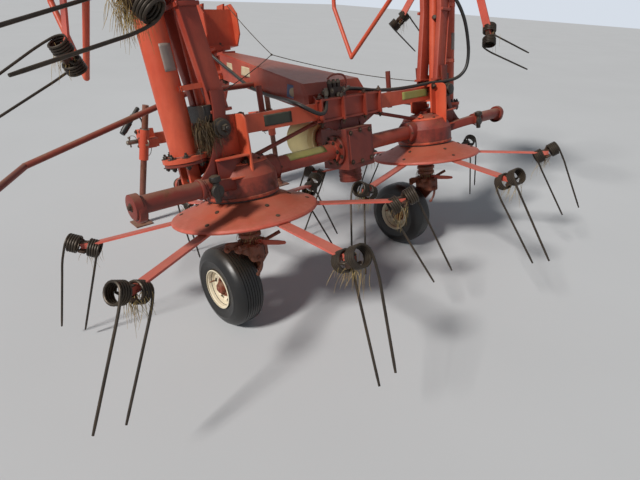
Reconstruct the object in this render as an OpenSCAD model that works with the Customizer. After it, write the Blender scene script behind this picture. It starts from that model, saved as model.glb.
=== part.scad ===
// Four-rotor mounted hay tedder with its two outer rotors folded up, parked on its inner wheels and stands.
// Millimetres. +X is the machine's right side, +Y is the way it travels, +Z is up.
// The origin is on the floor, at the middle of the box round the parked machine.
// Everything is drawn level in the machine's own frame, with the disc rims at z = 0,
// and tilted() then leans it forward as it parks.

/* [Layout] */
// Distance between the two inner rotor axes
rotor_spacing = 1280; // [1240:10:1400]
// Distance from an inner rotor's axis to the outer one's, with the wing down
outer_spacing = 1340; // [1300:10:1400]
// Forward lean of the parked machine, in degrees
park_tilt = 13.3; // [10:0.1:15]
// Height of the drive line above the disc rims
drive_z = 143; // [135:1:150]
// Height of the centre beam above the drive line
beam_rise = 194; // [185:1:210]
// Distance of each fold hinge from the middle
hinge_x = 850; // [840:1:880]
// Fold angle of a wing as it is parked, in degrees from flat
park_fold = 86.5; // [80:0.5:90]
// Distance of the drive line behind the middle of the parked machine
line_behind = 260; // [100:5:400]

/* [Wheels] */
// Outer radius of a tyre
tyre_r = 190; // [180:1:200]
// Width of a tyre
tyre_w = 150; // [130:1:160]
// Radius of the rim's flange
rim_r = 89; // [80:1:95]
// Distance of the wheel's middle to the left of its rotor axis
wheel_dx = 40; // [30:1:50]
// Distance of the axle ahead of the rotor axis
wheel_dy = 175; // [150:1:190]
// Drop of the axle below the disc rim
wheel_dz = 375; // [360:1:390]
// Radius of the axle
axle_r = 12.5; // [10:0.5:15]

/* [Rotors] */
// Number of arms on a rotor
arm_count = 6; // [5:1:6]
// Radius of the disc's rim
disc_r = 299; // [280:1:310]
// Radius of the circle through the coils' middles
coil_at = 675; // [650:1:690]
// Drop of the coils' middles below the disc rim
coil_drop = 64; // [60:1:80]
// Diameter of the tine wire
wire_d = 9.5; // [8:0.5:11]
// Radius of a coil, to the middle of its wire
coil_r = 26; // [24:1:30]
// Turns in one coil
coil_turns = 5; // [3:1:5]
// Radius of the circle through the tine tips
tip_at = 850; // [800:5:880]
// Drop of the tine tips below the disc rim
tip_drop = 405; // [380:5:430]
// Turn of the left inner rotor as it is parked, in degrees
left_phase = 24; // [20:0.5:28]
// Turn of the right inner rotor as it is parked, in degrees
right_phase = 9.5; // [4:0.5:12]
// Turn of the left outer rotor as it is parked, in degrees
left_outer_phase = 24.5; // [20:0.5:40]
// Turn of the right outer rotor as it is parked, in degrees
right_outer_phase = 14; // [4:0.5:30]

/* [Frame] */
// Side of the square centre beam
beam_side = 70; // [60:1:80]
// Half the length of the centre beam
beam_half = 690; // [670:1:700]
// Diameter of the drive tubes
drive_d = 76; // [70:1:80]
// Outer radius of a rotor gearbox's drum
drum_r = 150; // [140:1:155]
// Width of the wing's pair of rails, over both
rails_w = 140; // [130:1:150]
// Diameter of the wing's drive tube
wing_tube_d = 102; // [90:1:104]
// Radius of a fold hinge's pins
hinge_pin_r = 15; // [12:0.5:18]

/* [Headstock] */
// Distance of the swivel pin ahead of the drive line
swivel_y = 1010; // [990:5:1030]
// Height of the swivel pin's middle above the disc rims
swivel_z = 640; // [620:5:660]
// Distance of the lower link pins ahead of the drive line
link_y = 1360; // [1340:5:1380]
// Height of the lower link pins above the disc rims
link_z = 240; // [230:5:250]
// Radius of the lower link pins
link_pin_r = 14; // [11:0.5:18]
// Radius of the hole for the top link's pin
top_pin_r = 12.9; // [10:0.1:16]

/* [Fits] */
// Clearance on the radius of a turning or sliding fit
play = 0.3; // [0.2:0.05:0.5]
// Air left between parts that move past each other
air = 6; // [5:1:10]

/* [Hidden] */
$fn = 48;
park_h = tyre_r + wheel_dy*sin(park_tilt) + wheel_dz*cos(park_tilt);
inner_x = rotor_spacing/2;
wing_reach = inner_x + outer_spacing - hinge_x;
beam_z = drive_z + beam_rise;
arm_step = 360/arm_count;
beam_wall = 6;
// Half the gap between a bracket's two plates, and the plates' thickness
lug_gap = 62;
plate_t = 10;
// Plates of a wing's hinge run outside the bracket's plates
wing_plate_y = lug_gap + plate_t + air + plate_t/2;
// Pin of the fold cylinder's base, level with the top of the beam
base_pin_x = 740;
base_pin_z = 350;
base_pin_r = 10;
// Place of the rod's eye on the wing
eye_x = 960;
eye_z = 118;
paint = [0.74, 0.24, 0.15];
paint_dark = [0.50, 0.15, 0.11];
steel = [0.35, 0.29, 0.25];
bright = [0.72, 0.72, 0.70];
black = [0.09, 0.09, 0.09];
cream = [0.80, 0.76, 0.62];

// columns: node suffix, side (-1 left, 1 right), on a wing (0 or 1), phase of the first arm in degrees
ROTORS = [
    ["left_inner", -1, 0, left_phase],
    ["right_inner", 1, 0, right_phase],
    ["left_outer", -1, 1, left_outer_phase],
    ["right_outer", 1, 1, right_outer_phase]
];

// The parked machine's frame, from its own level frame
module tilted() {
    translate([0, -line_behind, park_h]) rotate([-park_tilt, 0, 0]) children();
}

// A left or right copy of what is drawn for the right side
module on_side(side) {
    mirror([side < 0 ? 1 : 0, 0, 0]) children();
}

// A wing's own frame: +X outwards along the unfolded wing, from its hinge
module on_wing(side) {
    on_side(side) translate([hinge_x, 0, drive_z]) rotate([0, -park_fold, 0]) children();
}

// A rotor's own frame: its axis is Z and its rim plane is z = 0; not mirrored
module on_rotor(rotor) {
    side = rotor[1];
    if (rotor[2] == 0)
        translate([side*inner_x, 0, 0]) children();
    else
        translate([side*hinge_x, 0, drive_z]) rotate([0, -side*park_fold, 0])
            translate([side*wing_reach, 0, -drive_z]) children();
}

// A round bar from one point to another
module bar(from, to, r) {
    d = to - from;
    l = norm(d);
    translate(from) rotate([0, acos(d[2]/l), atan2(d[1], d[0])]) cylinder(r = r, h = l);
}

// A round bar through a list of points, with a slightly fuller ball at each bend
bend_swell = 0.5;
module bent_bar(points, r) {
    for (i = [0:len(points) - 2]) bar(points[i], points[i + 1], r);
    for (i = [1:1:len(points) - 2]) translate(points[i]) sphere(r = r + bend_swell);
}

// A plate drawn in the x-z plane, its middle at y
module plate_xz(y, t, points) {
    translate([0, y + t/2, 0]) rotate([90, 0, 0]) linear_extrude(t) polygon(points);
}

// A plate drawn in the y-z plane, its middle at x
module plate_yz(x, t, points) {
    translate([x - t/2, 0, 0]) rotate([90, 0, 90]) linear_extrude(t) polygon(points);
}

// A cylinder along Y, its middle at a point
module rod_y(at, r, l) {
    translate(at) rotate([90, 0, 0]) cylinder(r = r, h = l, center = true);
}

// A cylinder along X, its middle at a point
module rod_x(at, r, l) {
    translate(at) rotate([0, 90, 0]) cylinder(r = r, h = l, center = true);
}

module centre_beam() {
    color(paint) tilted() translate([0, 0, beam_z]) difference() {
        cube([2*beam_half, beam_side, beam_side], center = true);
        cube([2*beam_half + 2, beam_side - 2*beam_wall, beam_side - 2*beam_wall], center = true);
    }
}

// The short channel that stiffens the beam, with its three ribs, and the arm that carries the headstock
arm_from_x = 190;
arm_tip = 45;
arm_y0 = beam_side/2 + 1;
arm_y1 = swivel_y - 66;
// Lower and upper edges of the arm at its foot, and the height of its tip, whose top carries the upper lug
arm_foot_z0 = beam_z + 13;
arm_foot_z1 = beam_z + 125;
arm_tip_h = 147;
lug_rise = 50;
module arm_body() {
    hull() {
        translate([0, arm_y0 + 15, arm_foot_z0 + 30]) cube([2*arm_from_x, 30, 60], center = true);
        translate([0, arm_y0 + 42, (arm_foot_z0 + arm_foot_z1)/2])
            cube([2*arm_from_x - 12, 24, arm_foot_z1 - arm_foot_z0], center = true);
        translate([0, arm_y1, swivel_z + lug_rise - arm_tip_h/2]) cube([2*arm_tip, 30, arm_tip_h], center = true);
    }
}
module beam_channel() {
    color(paint) tilted() {
        translate([0, -beam_side/2 - 9, beam_z + 2]) difference() {
            cube([430, 18, 98], center = true);
            translate([0, -6, 0]) cube([432, 14, 82], center = true);
        }
        for (x = [-200, -60, 90, 200])
            translate([x, -beam_side/2 - 14, beam_z + 2]) cube([8, 28, 104], center = true);
        arm_body();
        // plates that stand on the beam and hold the arm's foot
        for (s = [-1, 1])
            plate_yz(s*(arm_from_x - 30), 10, [
                [4, beam_z + beam_side/2], [arm_y0 + 10, beam_z + beam_side/2], [arm_y0 + 10, beam_z + 66],
                [arm_y0 - 4, beam_z + 66]]);
        difference() {
            for (z = [-1, 1]) hull() {
                translate([0, swivel_y, swivel_z + z*lug_rise]) cylinder(r = 42, h = 16, center = true, $fn = 32);
                translate([0, arm_y1 - 10, swivel_z + z*lug_rise]) cube([2*arm_tip, 30, 16], center = true);
            }
            translate([0, swivel_y, swivel_z]) cylinder(r = 20 + play, h = 200, center = true);
        }
    }
}

module drive_tubes() {
    color(paint) tilted() for (s = [-1, 1]) {
        bar([s*105, 0, drive_z], [s*(inner_x - neck_x), 0, drive_z], drive_d/2);
        rod_x([s*112, 0, drive_z], drive_d/2 + 14, 14);
    }
}

// Height of the power take-off shaft above the disc rims, and how far it and its guard come forward
pto_z = drive_z + 45;
pto_from = 70;
pto_tip = 470;
module centre_gearbox() {
    color(paint_dark) tilted() {
        translate([0, 0, drive_z + 5]) cube([180, 170, 190], center = true);
        rod_x([0, 0, drive_z], 70, 210);
        translate([0, 75, pto_z]) rotate([-90, 0, 0]) cylinder(r = 62, h = 90);
        translate([0, 0, -20]) cylinder(r = 55, h = 80);
        translate([0, 0, beam_z - beam_side/2 - 33]) cube([120, 60, 66], center = true);
        for (s = [-1, 1])
            plate_xz(-20, 12, [[s*80, 235], [s*235, beam_z - beam_side/2], [s*55, beam_z - beam_side/2]]);
    }
}

module pto_stub() {
    color(bright) tilted() translate([0, 165, pto_z]) rotate([-90, 0, 0]) cylinder(r = 17.4, h = 110);
}

module pto_guard() {
    color([0.85, 0.76, 0.35]) tilted() translate([0, 166, pto_z]) rotate([-90, 0, 0]) rotate_extrude()
        polygon([[62, -2], [80, -2], [95, 190], [90, 190], [75, 5], [62, 5]]);
}

// A rotor gearbox on its own rotor's frame: drum, dome and the shaft that carries the leg
drum_z0 = 66;
neck_x = 172;
shaft_r = 24;
module gearbox_dome() {
    rotate_extrude() polygon([
        [0, drum_z0], [drum_r, drum_z0], [drum_r, 150], [120, 195], [70, 222], [0, 228]]);
}
module gearbox(rotor) {
    tube_side = -rotor[1];
    color(paint) tilted() on_rotor(rotor) {
        gearbox_dome();
        translate([0, 0, 232]) cylinder(r = 22, h = 14, center = true);
        // the fixed hollow shaft inside the disc, down to the leg
        translate([0, 0, -40]) cylinder(r = shaft_r, h = drum_z0 + 44);
        rod_x([tube_side*(neck_x - 25), 0, drive_z], 54, 50);
    }
}

// Bracket at the end of the centre beam: two plates, a saddle, a box and the lugs of the fold hinge
module hinge_bracket(side) {
    color(paint) tilted() on_side(side) difference() {
        union() {
            for (y = [-1, 1]) {
                plate_xz(y*(lug_gap + plate_t/2), plate_t, [
                    [618, 235], [618, 386], [762, 386], [768, 300], [762, 238], [800, 190],
                    [hinge_x + 24, drive_z + 26], [hinge_x + 30, drive_z - 14], [hinge_x - 10, drive_z - 32],
                    [805, 150], [700, 205]]);
                // spacers beside the cylinder's base
                rod_y([base_pin_x, y*(lug_gap + 29)/2, base_pin_z], 17, lug_gap - 29 + 1);
                // fold pins, one at the front and one at the back
                rod_y([hinge_x, y*(wing_plate_y - 6), drive_z], hinge_pin_r, 52);
            }
            rod_y([base_pin_x, 0, base_pin_z], base_pin_r, 70);
            translate([720, 0, 235]) cube([60, 2*lug_gap + 2, 26], center = true);
            // saddle over and under the end of the beam
            for (z = [-1, 1]) translate([654, 0, beam_z + z*(beam_side/2 + 5)])
                cube([72, 2*lug_gap + 2, 10], center = true);
        }
        translate([inner_x, 0, 0]) gearbox_dome();
    }
}

// The round tubes with end caps beside the hinges
side_tube_y = -180;
side_tube_z = 150;
side_tube_end = hinge_x + 270;
module side_tubes() {
    color(paint) tilted() for (s = [-1, 1]) difference() {
        union() {
            bar([s*(hinge_x - 160), side_tube_y, side_tube_z], [s*side_tube_end, side_tube_y, side_tube_z], 30);
            rod_x([s*(side_tube_end + 12), side_tube_y, side_tube_z], 41, 26);
            rod_x([s*(hinge_x + 55), side_tube_y, side_tube_z], 36, 14);
            translate([s*(inner_x + 40), side_tube_y + 32, side_tube_z - 22]) cube([70, 74, 90], center = true);
        }
        translate([s*inner_x, 0, 0]) gearbox_dome();
    }
}

module brace_rods() {
    post_y = beam_side/2 + 24 + 13;
    color(paint_dark) tilted() for (s = [-1, 1]) {
        difference() {
            bar([s*180, 0, beam_z - beam_side/2 - 9.5], [s*(inner_x - 80), 0, 205], 9);
            translate([s*inner_x, 0, 0]) gearbox_dome();
        }
        translate([s*430, post_y, beam_z + 45]) cylinder(r = 13, h = 190, center = true);
        translate([s*430, beam_side/2 + 12, beam_z]) cube([30, 24, 40], center = true);
    }
}

// Bent guard tubes across the front, carried by the headstock's arm
guard_r = 14;
module front_guard() {
    color(paint_dark) tilted() for (s = [-1, 1])
        bent_bar([[s*108.9, 570, 490], [s*480, 617, 484], [s*(hinge_x + 398), 700, 266],
            [s*(hinge_x + 570), 500, 202]], guard_r);
}

valve_x = -66;
valve_w = 100;
valve_h = 60;
valve_z = beam_z + beam_side/2 + play + valve_h/2;
module valve_block() {
    color(paint_dark) tilted() {
        translate([valve_x, -10, valve_z]) cube([valve_w, 48, valve_h], center = true);
        for (x = [-28, 0, 28])
            translate([valve_x + x, -10, valve_z + valve_h/2 + 8]) cylinder(r = 11, h = 18, center = true);
    }
}

// Headstock: swivel post, A-shaped mast, cross tube, link blocks and the sleeves of the stands
top_pin_y = 1036;
top_pin_z = 935;
stand_x = 585;
stand_splay = 10;
stand_foot_y = 1290;
stand_r = 19;
block_x = 478;
link_pin_l = 84;
// Sheet box round the mast: half its width, the height of its floor and of its top
mast_half = 116;
mast_z = 735;
mast_top = 968;
module on_stand(side) {
    translate([side*stand_x, stand_foot_y - line_behind, 0]) rotate([0, -side*stand_splay, 0]) children();
}
module headstock_frame() {
    color(paint) {
        tilted() difference() {
            union() {
                translate([0, swivel_y, swivel_z]) cylinder(r = 20, h = 190, center = true);
                for (z = [-1, 1]) translate([0, swivel_y + 25, swivel_z + z*82]) cube([110, 110, 20], center = true);
                translate([0, swivel_y + 80, swivel_z]) cube([150, 24, 184], center = true);
                // sheet box of the mast: floor, rear panel and two cut-cornered sides
                translate([0, swivel_y + 25, mast_z]) cube([2*mast_half, 110, 10], center = true);
                translate([0, swivel_y - 12, (mast_z + mast_top - 30)/2])
                    cube([2*mast_half, 6, mast_top - 30 - mast_z], center = true);
                for (s = [-1, 1]) {
                    plate_yz(s*(mast_half - 4), 8, [[swivel_y + 70, mast_z], [swivel_y + 60, mast_top],
                        [swivel_y - 20, mast_top], [swivel_y - 70, mast_top - 60], [swivel_y - 70, mast_z + 60],
                        [swivel_y - 30, mast_z]]);
                    plate_yz(s*70, 12, [[swivel_y + 70, 540], [swivel_y + 70, 760], [1000, 970], [1070, 970],
                        [swivel_y + 150, 760], [link_y + 20, link_z + 20], [link_y - 60, link_z - 20]]);
                    translate([s*(block_x - 39), link_y, link_z + 10]) cube([78, 100, 120], center = true);
                }
                translate([0, link_y, link_z]) cube([2*block_x - 100, 70, 70], center = true);
            }
            rod_x([0, top_pin_y, top_pin_z], top_pin_r, 2*mast_half + 4);
        }
        for (s = [-1, 1]) difference() {
            union() {
                on_stand(s) translate([0, 0, 430]) cylinder(r = stand_r + 9, h = 190);
                translate([s*(stand_x - 130), stand_foot_y - line_behind + 20, 520]) cube([110, 60, 50], center = true);
            }
            on_stand(s) cylinder(r = stand_r + play, h = 900);
        }
    }
}

module lower_link_pins() {
    color(steel) tilted() for (s = [-1, 1]) {
        rod_x([s*(block_x + link_pin_l/2), link_y, link_z], link_pin_r, link_pin_l);
        rod_x([s*(block_x + 4), link_y, link_z], link_pin_r + 8, 8);
    }
}

module stand(side) {
    color(steel) {
        on_stand(side) translate([0, 0, 20]) cylinder(r = stand_r, h = 745);
        translate([side*stand_x, stand_foot_y - line_behind, 4]) cube([110, 110, 8], center = true);
        translate([side*stand_x, stand_foot_y - line_behind, 14]) cylinder(r1 = 34, r2 = 24, h = 26, center = true);
    }
}

// Wing's pair of rails, tapering towards the drive tube, its collar, plates and hinge plates
rail_t = 30;
rail_h = 76;
rail_z0 = 150;
rail_knee = 112;
rail_z1 = 130;
rail_from = 250;
rail_to = wing_reach - 60;
collar_x = 610;
collar_h = 88;
boss_l = rails_w/2 - rail_t - 18 - 2 + 4;
rail_y = rails_w/2 - rail_t/2;
post_at = [for (share = [0.31, 0.566, 0.77]) share*wing_reach];
// Height of the rails' middle line, which bends at the collar
function rail_mid(x) = x < collar_x
    ? rail_z0 + (rail_knee - rail_z0)*(x - rail_from)/(collar_x - rail_from)
    : rail_knee + (rail_z1 - rail_knee)*(x - collar_x)/(rail_to - collar_x);
module wing_rails(side) {
    color(paint) tilted() on_wing(side) {
        for (y = [-1, 1]) {
            plate_xz(y*rail_y, rail_t, [
                [rail_from, rail_z0 - rail_h/2], [rail_from, rail_z0 + rail_h/2], [collar_x, rail_knee + rail_h/2],
                [rail_to, rail_z1 + rail_h/2], [rail_to, rail_z1 - rail_h/2], [collar_x, rail_knee - rail_h/2]]);
            translate([rail_from + 4, y*rail_y, rail_z0]) cube([12, rail_t + 14, rail_h + 16], center = true);
            difference() {
                plate_xz(y*wing_plate_y, plate_t, [
                    [-28, 22], [-26, -22], [22, -30], [46, -2], [96, 43], [130, 48], [rail_from - 14, 74],
                    [rail_from + 80, 74], [rail_from + 80, rail_z0 + 46], [rail_from - 14, rail_z0 + 44],
                    [110, 106]]);
                rod_y([0, y*wing_plate_y, 0], hinge_pin_r + play, plate_t + 2);
            }
            translate([rail_from + 40, y*(rails_w/2 + 5), rail_z0]) cube([70, 14, 60], center = true);
            // bosses either side of the rod's eye, whose pin is left out so that the eye can drift
            rod_y([eye_x, y*(eye_half + 2 + boss_l/2), eye_z], 17, boss_l);
        }
        // cross plate under the cylinder at the rails' inner ends, and the yoke at their bend
        translate([rail_from + 34, 0, 82]) cube([60, 2*wing_plate_y - plate_t + 2, 10], center = true);
        translate([collar_x, 0, rail_knee]) difference() {
            cube([14, rails_w + 26, collar_h], center = true);
            translate([0, 0, 12]) cube([16, 2*rail_y - rail_t, collar_h], center = true);
        }
    }
}

// Wing's drive tube with the flange next to the joint's fork
module wing_tube(side) {
    color(paint) tilted() on_wing(side) {
        bar([110, 0, 0], [wing_reach - neck_x, 0, 0], wing_tube_d/2);
        rod_x([112, 0, 0], 84, 16);
        // fork of the joint on the fold axis
        for (y = [-1, 1]) translate([60, y*34, 0]) cube([96, 14, 44], center = true);
        // posts that carry the rails
        for (x = post_at, y = [-1, 1])
            plate_xz(y*rail_y, 22, [
                [x - 9, 20], [x - 9, rail_mid(x - 9) - rail_h/2 - 0.1], [x + 9, rail_mid(x + 9) - rail_h/2 - 0.1],
                [x + 9, 20]]);
    }
}

// Bow that guards the outer rotor's front: two struts from the gearbox and the bar they carry
module guard_bow(side) {
    color(paint) tilted() on_wing(side) difference() {
        union() {
            bent_bar([[wing_reach - 90, 90, -28], [460, 760, -12], [800, 905, -12], [1500, 920, -12],
                [1720, 760, -12]], guard_r);
            bar([wing_reach + 90, 90, -28], [1500, 906, -12], guard_r - 2);
        }
        translate([wing_reach, 0, -drive_z]) gearbox_dome();
    }
}

// A rotor's cone disc with its arms and their clamps
arm_w = 44;
arm_t = 8;
coil_gap = 14;
leg_r = wire_d/2 - 0.3;
cross_r = leg_r - 1;
module disc(rotor) {
    crown_z = drum_z0 - air;
    slope = atan2(coil_drop - 22, coil_at - disc_r);
    color(paint) tilted() on_rotor(rotor) {
        difference() {
            union() {
                // cone from its flat crown under the drum to the rolled rim, and the hub inside
                rotate_extrude() polygon([
                    [shaft_r + play, crown_z], [146, crown_z], [166, crown_z - 8], [230, 22], [disc_r - 4, 2],
                    [disc_r, 0], [disc_r + 3, -7], [disc_r, -14], [disc_r - 6, -14], [disc_r - 6, -4], [228, 15],
                    [164, crown_z - 15], [144, crown_z - 7], [60, crown_z - 7], [60, -14],
                    [shaft_r + play, -14]]);
                for (k = [0:arm_count - 1]) rotate([0, 0, rotor[3] + k*arm_step]) {
                    translate([disc_r - 4, 0, -18]) rotate([0, slope, 0]) translate([-236, -arm_w/2, -arm_t/2])
                        cube([coil_at - disc_r + 200, arm_w, arm_t]);
                    translate([coil_at - 20, 0, -coil_drop + 4]) cube([56, 2*coil_gap - 6, 24], center = true);
                }
            }
            translate([0, 0, -60]) cylinder(r = shaft_r + play, h = 120);
            // seats of the tines' cross wires
            for (k = [0:arm_count - 1]) rotate([0, 0, rotor[3] + k*arm_step])
                rod_y([coil_at - coil_r, 0, -coil_drop], cross_r, 60);
        }
    }
}

// A rotor's spring tines: two coils and two legs at the end of each arm
coil_pitch = wire_d - 0.5;
coil_l = coil_turns*coil_pitch;
// the outline of one turn's crown: share of the wire's diameter out from its middle, and share of the pitch
crown = [[0.3, 0], [0.5, 0.28], [0.5, 0.72]];
coil_crown = [for (i = [0:coil_turns - 1]) for (c = crown) [c[0]*wire_d, (i + c[1])*coil_pitch]];
coil_top = concat(coil_crown, [[0.3*wire_d, coil_l]]);
last_point = len(coil_top) - 1;
coil_outline = concat(
    [for (c = coil_top) [coil_r + c[0], c[1]]],
    [for (i = [0:last_point]) [coil_r - coil_top[last_point - i][0], coil_top[last_point - i][1]]]);
module tine_coil(side) {
    mirror([0, side > 0 ? 0 : 1, 0]) translate([0, coil_gap, 0]) rotate([-90, 0, 0])
        rotate_extrude() polygon(coil_outline);
}
module tines(rotor) {
    leg_y = coil_gap + coil_l;
    color(steel) tilted() on_rotor(rotor) for (k = [0:arm_count - 1]) rotate([0, 0, rotor[3] + k*arm_step])
        translate([coil_at, 0, -coil_drop]) {
            for (s = [-1, 1]) {
                tine_coil(s);
                bent_bar([[coil_r, s*leg_y, 8], [coil_r + 16, s*leg_y, -52],
                    [tip_at - coil_at, s*48 - 13, coil_drop - tip_drop]], leg_r);
            }
            bar([-coil_r, -coil_gap - 3, 0], [-coil_r, coil_gap + 3, 0], cross_r);
        }
}

// A wheel's leg: collar on the rotor's shaft, swivel body, arm down behind the tyre and the axle
module leg(rotor) {
    plate_x = -wheel_dx + tyre_w/2 + 14;
    color(paint_dark) tilted() on_rotor(rotor) {
        difference() {
            translate([0, 0, -150]) cylinder(r = 34, h = 128);
            translate([0, 0, -62]) cylinder(r = 24 + play, h = 60);
        }
        translate([0, 8, -168]) cube([72, 84, 60], center = true);
        rod_x([-8, -22, -150], 11, 130);
        bar([26, -16, -160], [120, -52, -128], 8);
        translate([14, 20, -215]) cylinder(r = 20, h = 60);
        plate_yz(plate_x, 16, [[-34, -140], [44, -140], [wheel_dy + 34, -wheel_dz + 20], [wheel_dy + 20, -wheel_dz - 26],
            [wheel_dy - 26, -wheel_dz - 26], [-34, -210]]);
        translate([plate_x/2, 8, -165]) cube([plate_x, 60, 46], center = true);
        bar([plate_x - 2, wheel_dy, -wheel_dz], [-wheel_dx - 44, wheel_dy, -wheel_dz], axle_r);
        rod_x([plate_x - 14, wheel_dy, -wheel_dz], 24, 14);
    }
}

module on_wheel(rotor) {
    tilted() on_rotor(rotor) translate([-wheel_dx, wheel_dy, -wheel_dz]) rotate([0, 90, 0]) children();
}

module tyre(rotor) {
    bead = tyre_w/2 - 12;
    color(black) on_wheel(rotor) rotate_extrude() polygon([
        [rim_r - 8, -bead + 8], [rim_r + 4, -bead], [135, -tyre_w/2], [160, -tyre_w/2 + 1], [178, -tyre_w/2 + 12],
        [tyre_r - 4, -tyre_w/2 + 26], [tyre_r, -34], [tyre_r, 34], [tyre_r - 4, tyre_w/2 - 26],
        [178, tyre_w/2 - 12], [160, tyre_w/2 - 1], [135, tyre_w/2], [rim_r + 4, bead], [rim_r - 8, bead - 8]]);
}

module rim(rotor) {
    edge = tyre_w/2 - 6;
    color(cream) on_wheel(rotor) difference() {
        rotate_extrude() polygon([
            [axle_r + play, -44], [30, -44], [34, -22], [60, -22], [rim_r - 22, -34], [rim_r - 16, -edge + 10],
            [rim_r, -edge], [rim_r, -edge + 4], [rim_r - 8.5, -edge + 14], [rim_r - 8.5, edge - 14],
            [rim_r, edge - 4], [rim_r, edge], [rim_r - 16, edge - 10], [rim_r - 24, -26], [60, -14], [34, -14],
            [30, 40], [axle_r + play, 40]]);
        for (k = [0:4]) rotate([0, 0, k*72]) translate([50, 0, -30]) cylinder(r = 6, h = 40);
    }
}

// The fold cylinder, from its base pin on the bracket to the rod's eye on the wing
function eye_at() = [
    hinge_x + eye_x*cos(park_fold) - eye_z*sin(park_fold),
    0,
    drive_z + eye_x*sin(park_fold) + eye_z*cos(park_fold)];
base_at = [base_pin_x, 0, base_pin_z];
cyl_vec = eye_at() - base_at;
cyl_len = norm(cyl_vec);
cyl_lean = atan2(cyl_vec[0], cyl_vec[2]);
barrel_r = 22.5;
rod_r = 12.5;
eye_half = 18;
barrel_len = cyl_len - 150;
module on_cylinder(side) {
    on_side(side) translate(base_at) rotate([0, cyl_lean, 0]) children();
}
module cylinder_barrel(side) {
    color(paint) tilted() on_cylinder(side) difference() {
        union() {
            rod_y([0, 0, 0], 20, 54);
            translate([0, 0, 12]) cylinder(r = barrel_r, h = barrel_len - 12);
            translate([0, 0, barrel_len - 30]) cylinder(r = barrel_r + 4, h = 34);
        }
        rod_y([0, 0, 0], base_pin_r + play, 60);
        translate([0, 0, 60]) cylinder(r = rod_r + 0.5, h = barrel_len);
    }
}
module cylinder_rod(side) {
    color(bright) tilted() on_cylinder(side) difference() {
        union() {
            translate([0, 0, 70]) cylinder(r = rod_r, h = cyl_len - 84);
            rod_y([0, 0, cyl_len], 19, 2*eye_half);
        }
        translate([0, 0, 66]) cylinder(r = rod_r + 2, h = 6);
    }
}

// Hydraulic hoses from the valve block along the beam to each wing's foot
hose_r = 7;
module hydraulic_hoses() {
    hose_z = beam_z + beam_side/2 + hose_r + 3;
    color(black) tilted() for (s = [-1, 1])
        bar([valve_x + s*(valve_w/2 + play), -10, valve_z - 8], [s*600, -20, hose_z], hose_r);
}

centre_beam();
beam_channel();
drive_tubes();
centre_gearbox();
pto_stub();
pto_guard();
gearbox(ROTORS[0]);  // gearbox_left_inner
gearbox(ROTORS[1]);  // gearbox_right_inner
gearbox(ROTORS[2]);  // gearbox_left_outer
gearbox(ROTORS[3]);  // gearbox_right_outer
hinge_bracket(-1);  // hinge_bracket_left
hinge_bracket(1);  // hinge_bracket_right
side_tubes();
brace_rods();
front_guard();
valve_block();
headstock_frame();
lower_link_pins();
stand(-1);  // stand_left
stand(1);  // stand_right
wing_rails(-1);  // wing_rails_left
wing_rails(1);  // wing_rails_right
wing_tube(-1);  // wing_tube_left
wing_tube(1);  // wing_tube_right
guard_bow(-1);  // guard_bow_left
guard_bow(1);  // guard_bow_right
disc(ROTORS[0]);  // disc_left_inner
disc(ROTORS[1]);  // disc_right_inner
disc(ROTORS[2]);  // disc_left_outer
disc(ROTORS[3]);  // disc_right_outer
tines(ROTORS[0]);  // tines_left_inner
tines(ROTORS[1]);  // tines_right_inner
tines(ROTORS[2]);  // tines_left_outer
tines(ROTORS[3]);  // tines_right_outer
leg(ROTORS[0]);  // leg_left_inner
leg(ROTORS[1]);  // leg_right_inner
leg(ROTORS[2]);  // leg_left_outer
leg(ROTORS[3]);  // leg_right_outer
tyre(ROTORS[0]);  // tyre_left_inner
tyre(ROTORS[1]);  // tyre_right_inner
tyre(ROTORS[2]);  // tyre_left_outer
tyre(ROTORS[3]);  // tyre_right_outer
rim(ROTORS[0]);  // rim_left_inner
rim(ROTORS[1]);  // rim_right_inner
rim(ROTORS[2]);  // rim_left_outer
rim(ROTORS[3]);  // rim_right_outer
cylinder_barrel(-1);  // cylinder_barrel_left
cylinder_barrel(1);  // cylinder_barrel_right
cylinder_rod(-1);  // cylinder_rod_left
cylinder_rod(1);  // cylinder_rod_right
hydraulic_hoses();
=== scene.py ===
"""Looks of a parked four-rotor hay tedder: helical spring tines, tyres, hoses, fastenings, hay and worn paint."""
import math

import bmesh
import bpy
import numpy as np
from bpy.props import FloatProperty, FloatVectorProperty, IntProperty, PointerProperty
from mathutils import Matrix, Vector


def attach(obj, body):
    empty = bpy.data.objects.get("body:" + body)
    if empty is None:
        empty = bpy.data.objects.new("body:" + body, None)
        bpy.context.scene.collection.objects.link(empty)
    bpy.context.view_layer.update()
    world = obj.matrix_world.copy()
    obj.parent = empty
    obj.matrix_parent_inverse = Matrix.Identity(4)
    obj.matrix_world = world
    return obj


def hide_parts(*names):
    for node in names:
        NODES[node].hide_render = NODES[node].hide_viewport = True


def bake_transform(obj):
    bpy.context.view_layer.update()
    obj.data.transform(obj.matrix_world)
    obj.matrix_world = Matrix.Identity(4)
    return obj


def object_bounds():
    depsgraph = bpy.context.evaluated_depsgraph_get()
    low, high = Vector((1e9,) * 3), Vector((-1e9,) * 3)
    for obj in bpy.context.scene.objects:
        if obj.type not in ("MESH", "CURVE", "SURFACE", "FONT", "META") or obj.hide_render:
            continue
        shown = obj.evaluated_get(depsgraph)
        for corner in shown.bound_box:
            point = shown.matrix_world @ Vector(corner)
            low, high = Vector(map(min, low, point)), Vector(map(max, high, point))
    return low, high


bl_info = {
    "name": "Hay Tedder",
    "version": (1, 0, 0),
    "blender": (4, 5, 0),
    "location": "3D View > Sidebar > Tedder",
    "description": "Makes the visible detail of a parked hay tedder on its packed frame",
    "category": "Add Mesh",
}

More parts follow.
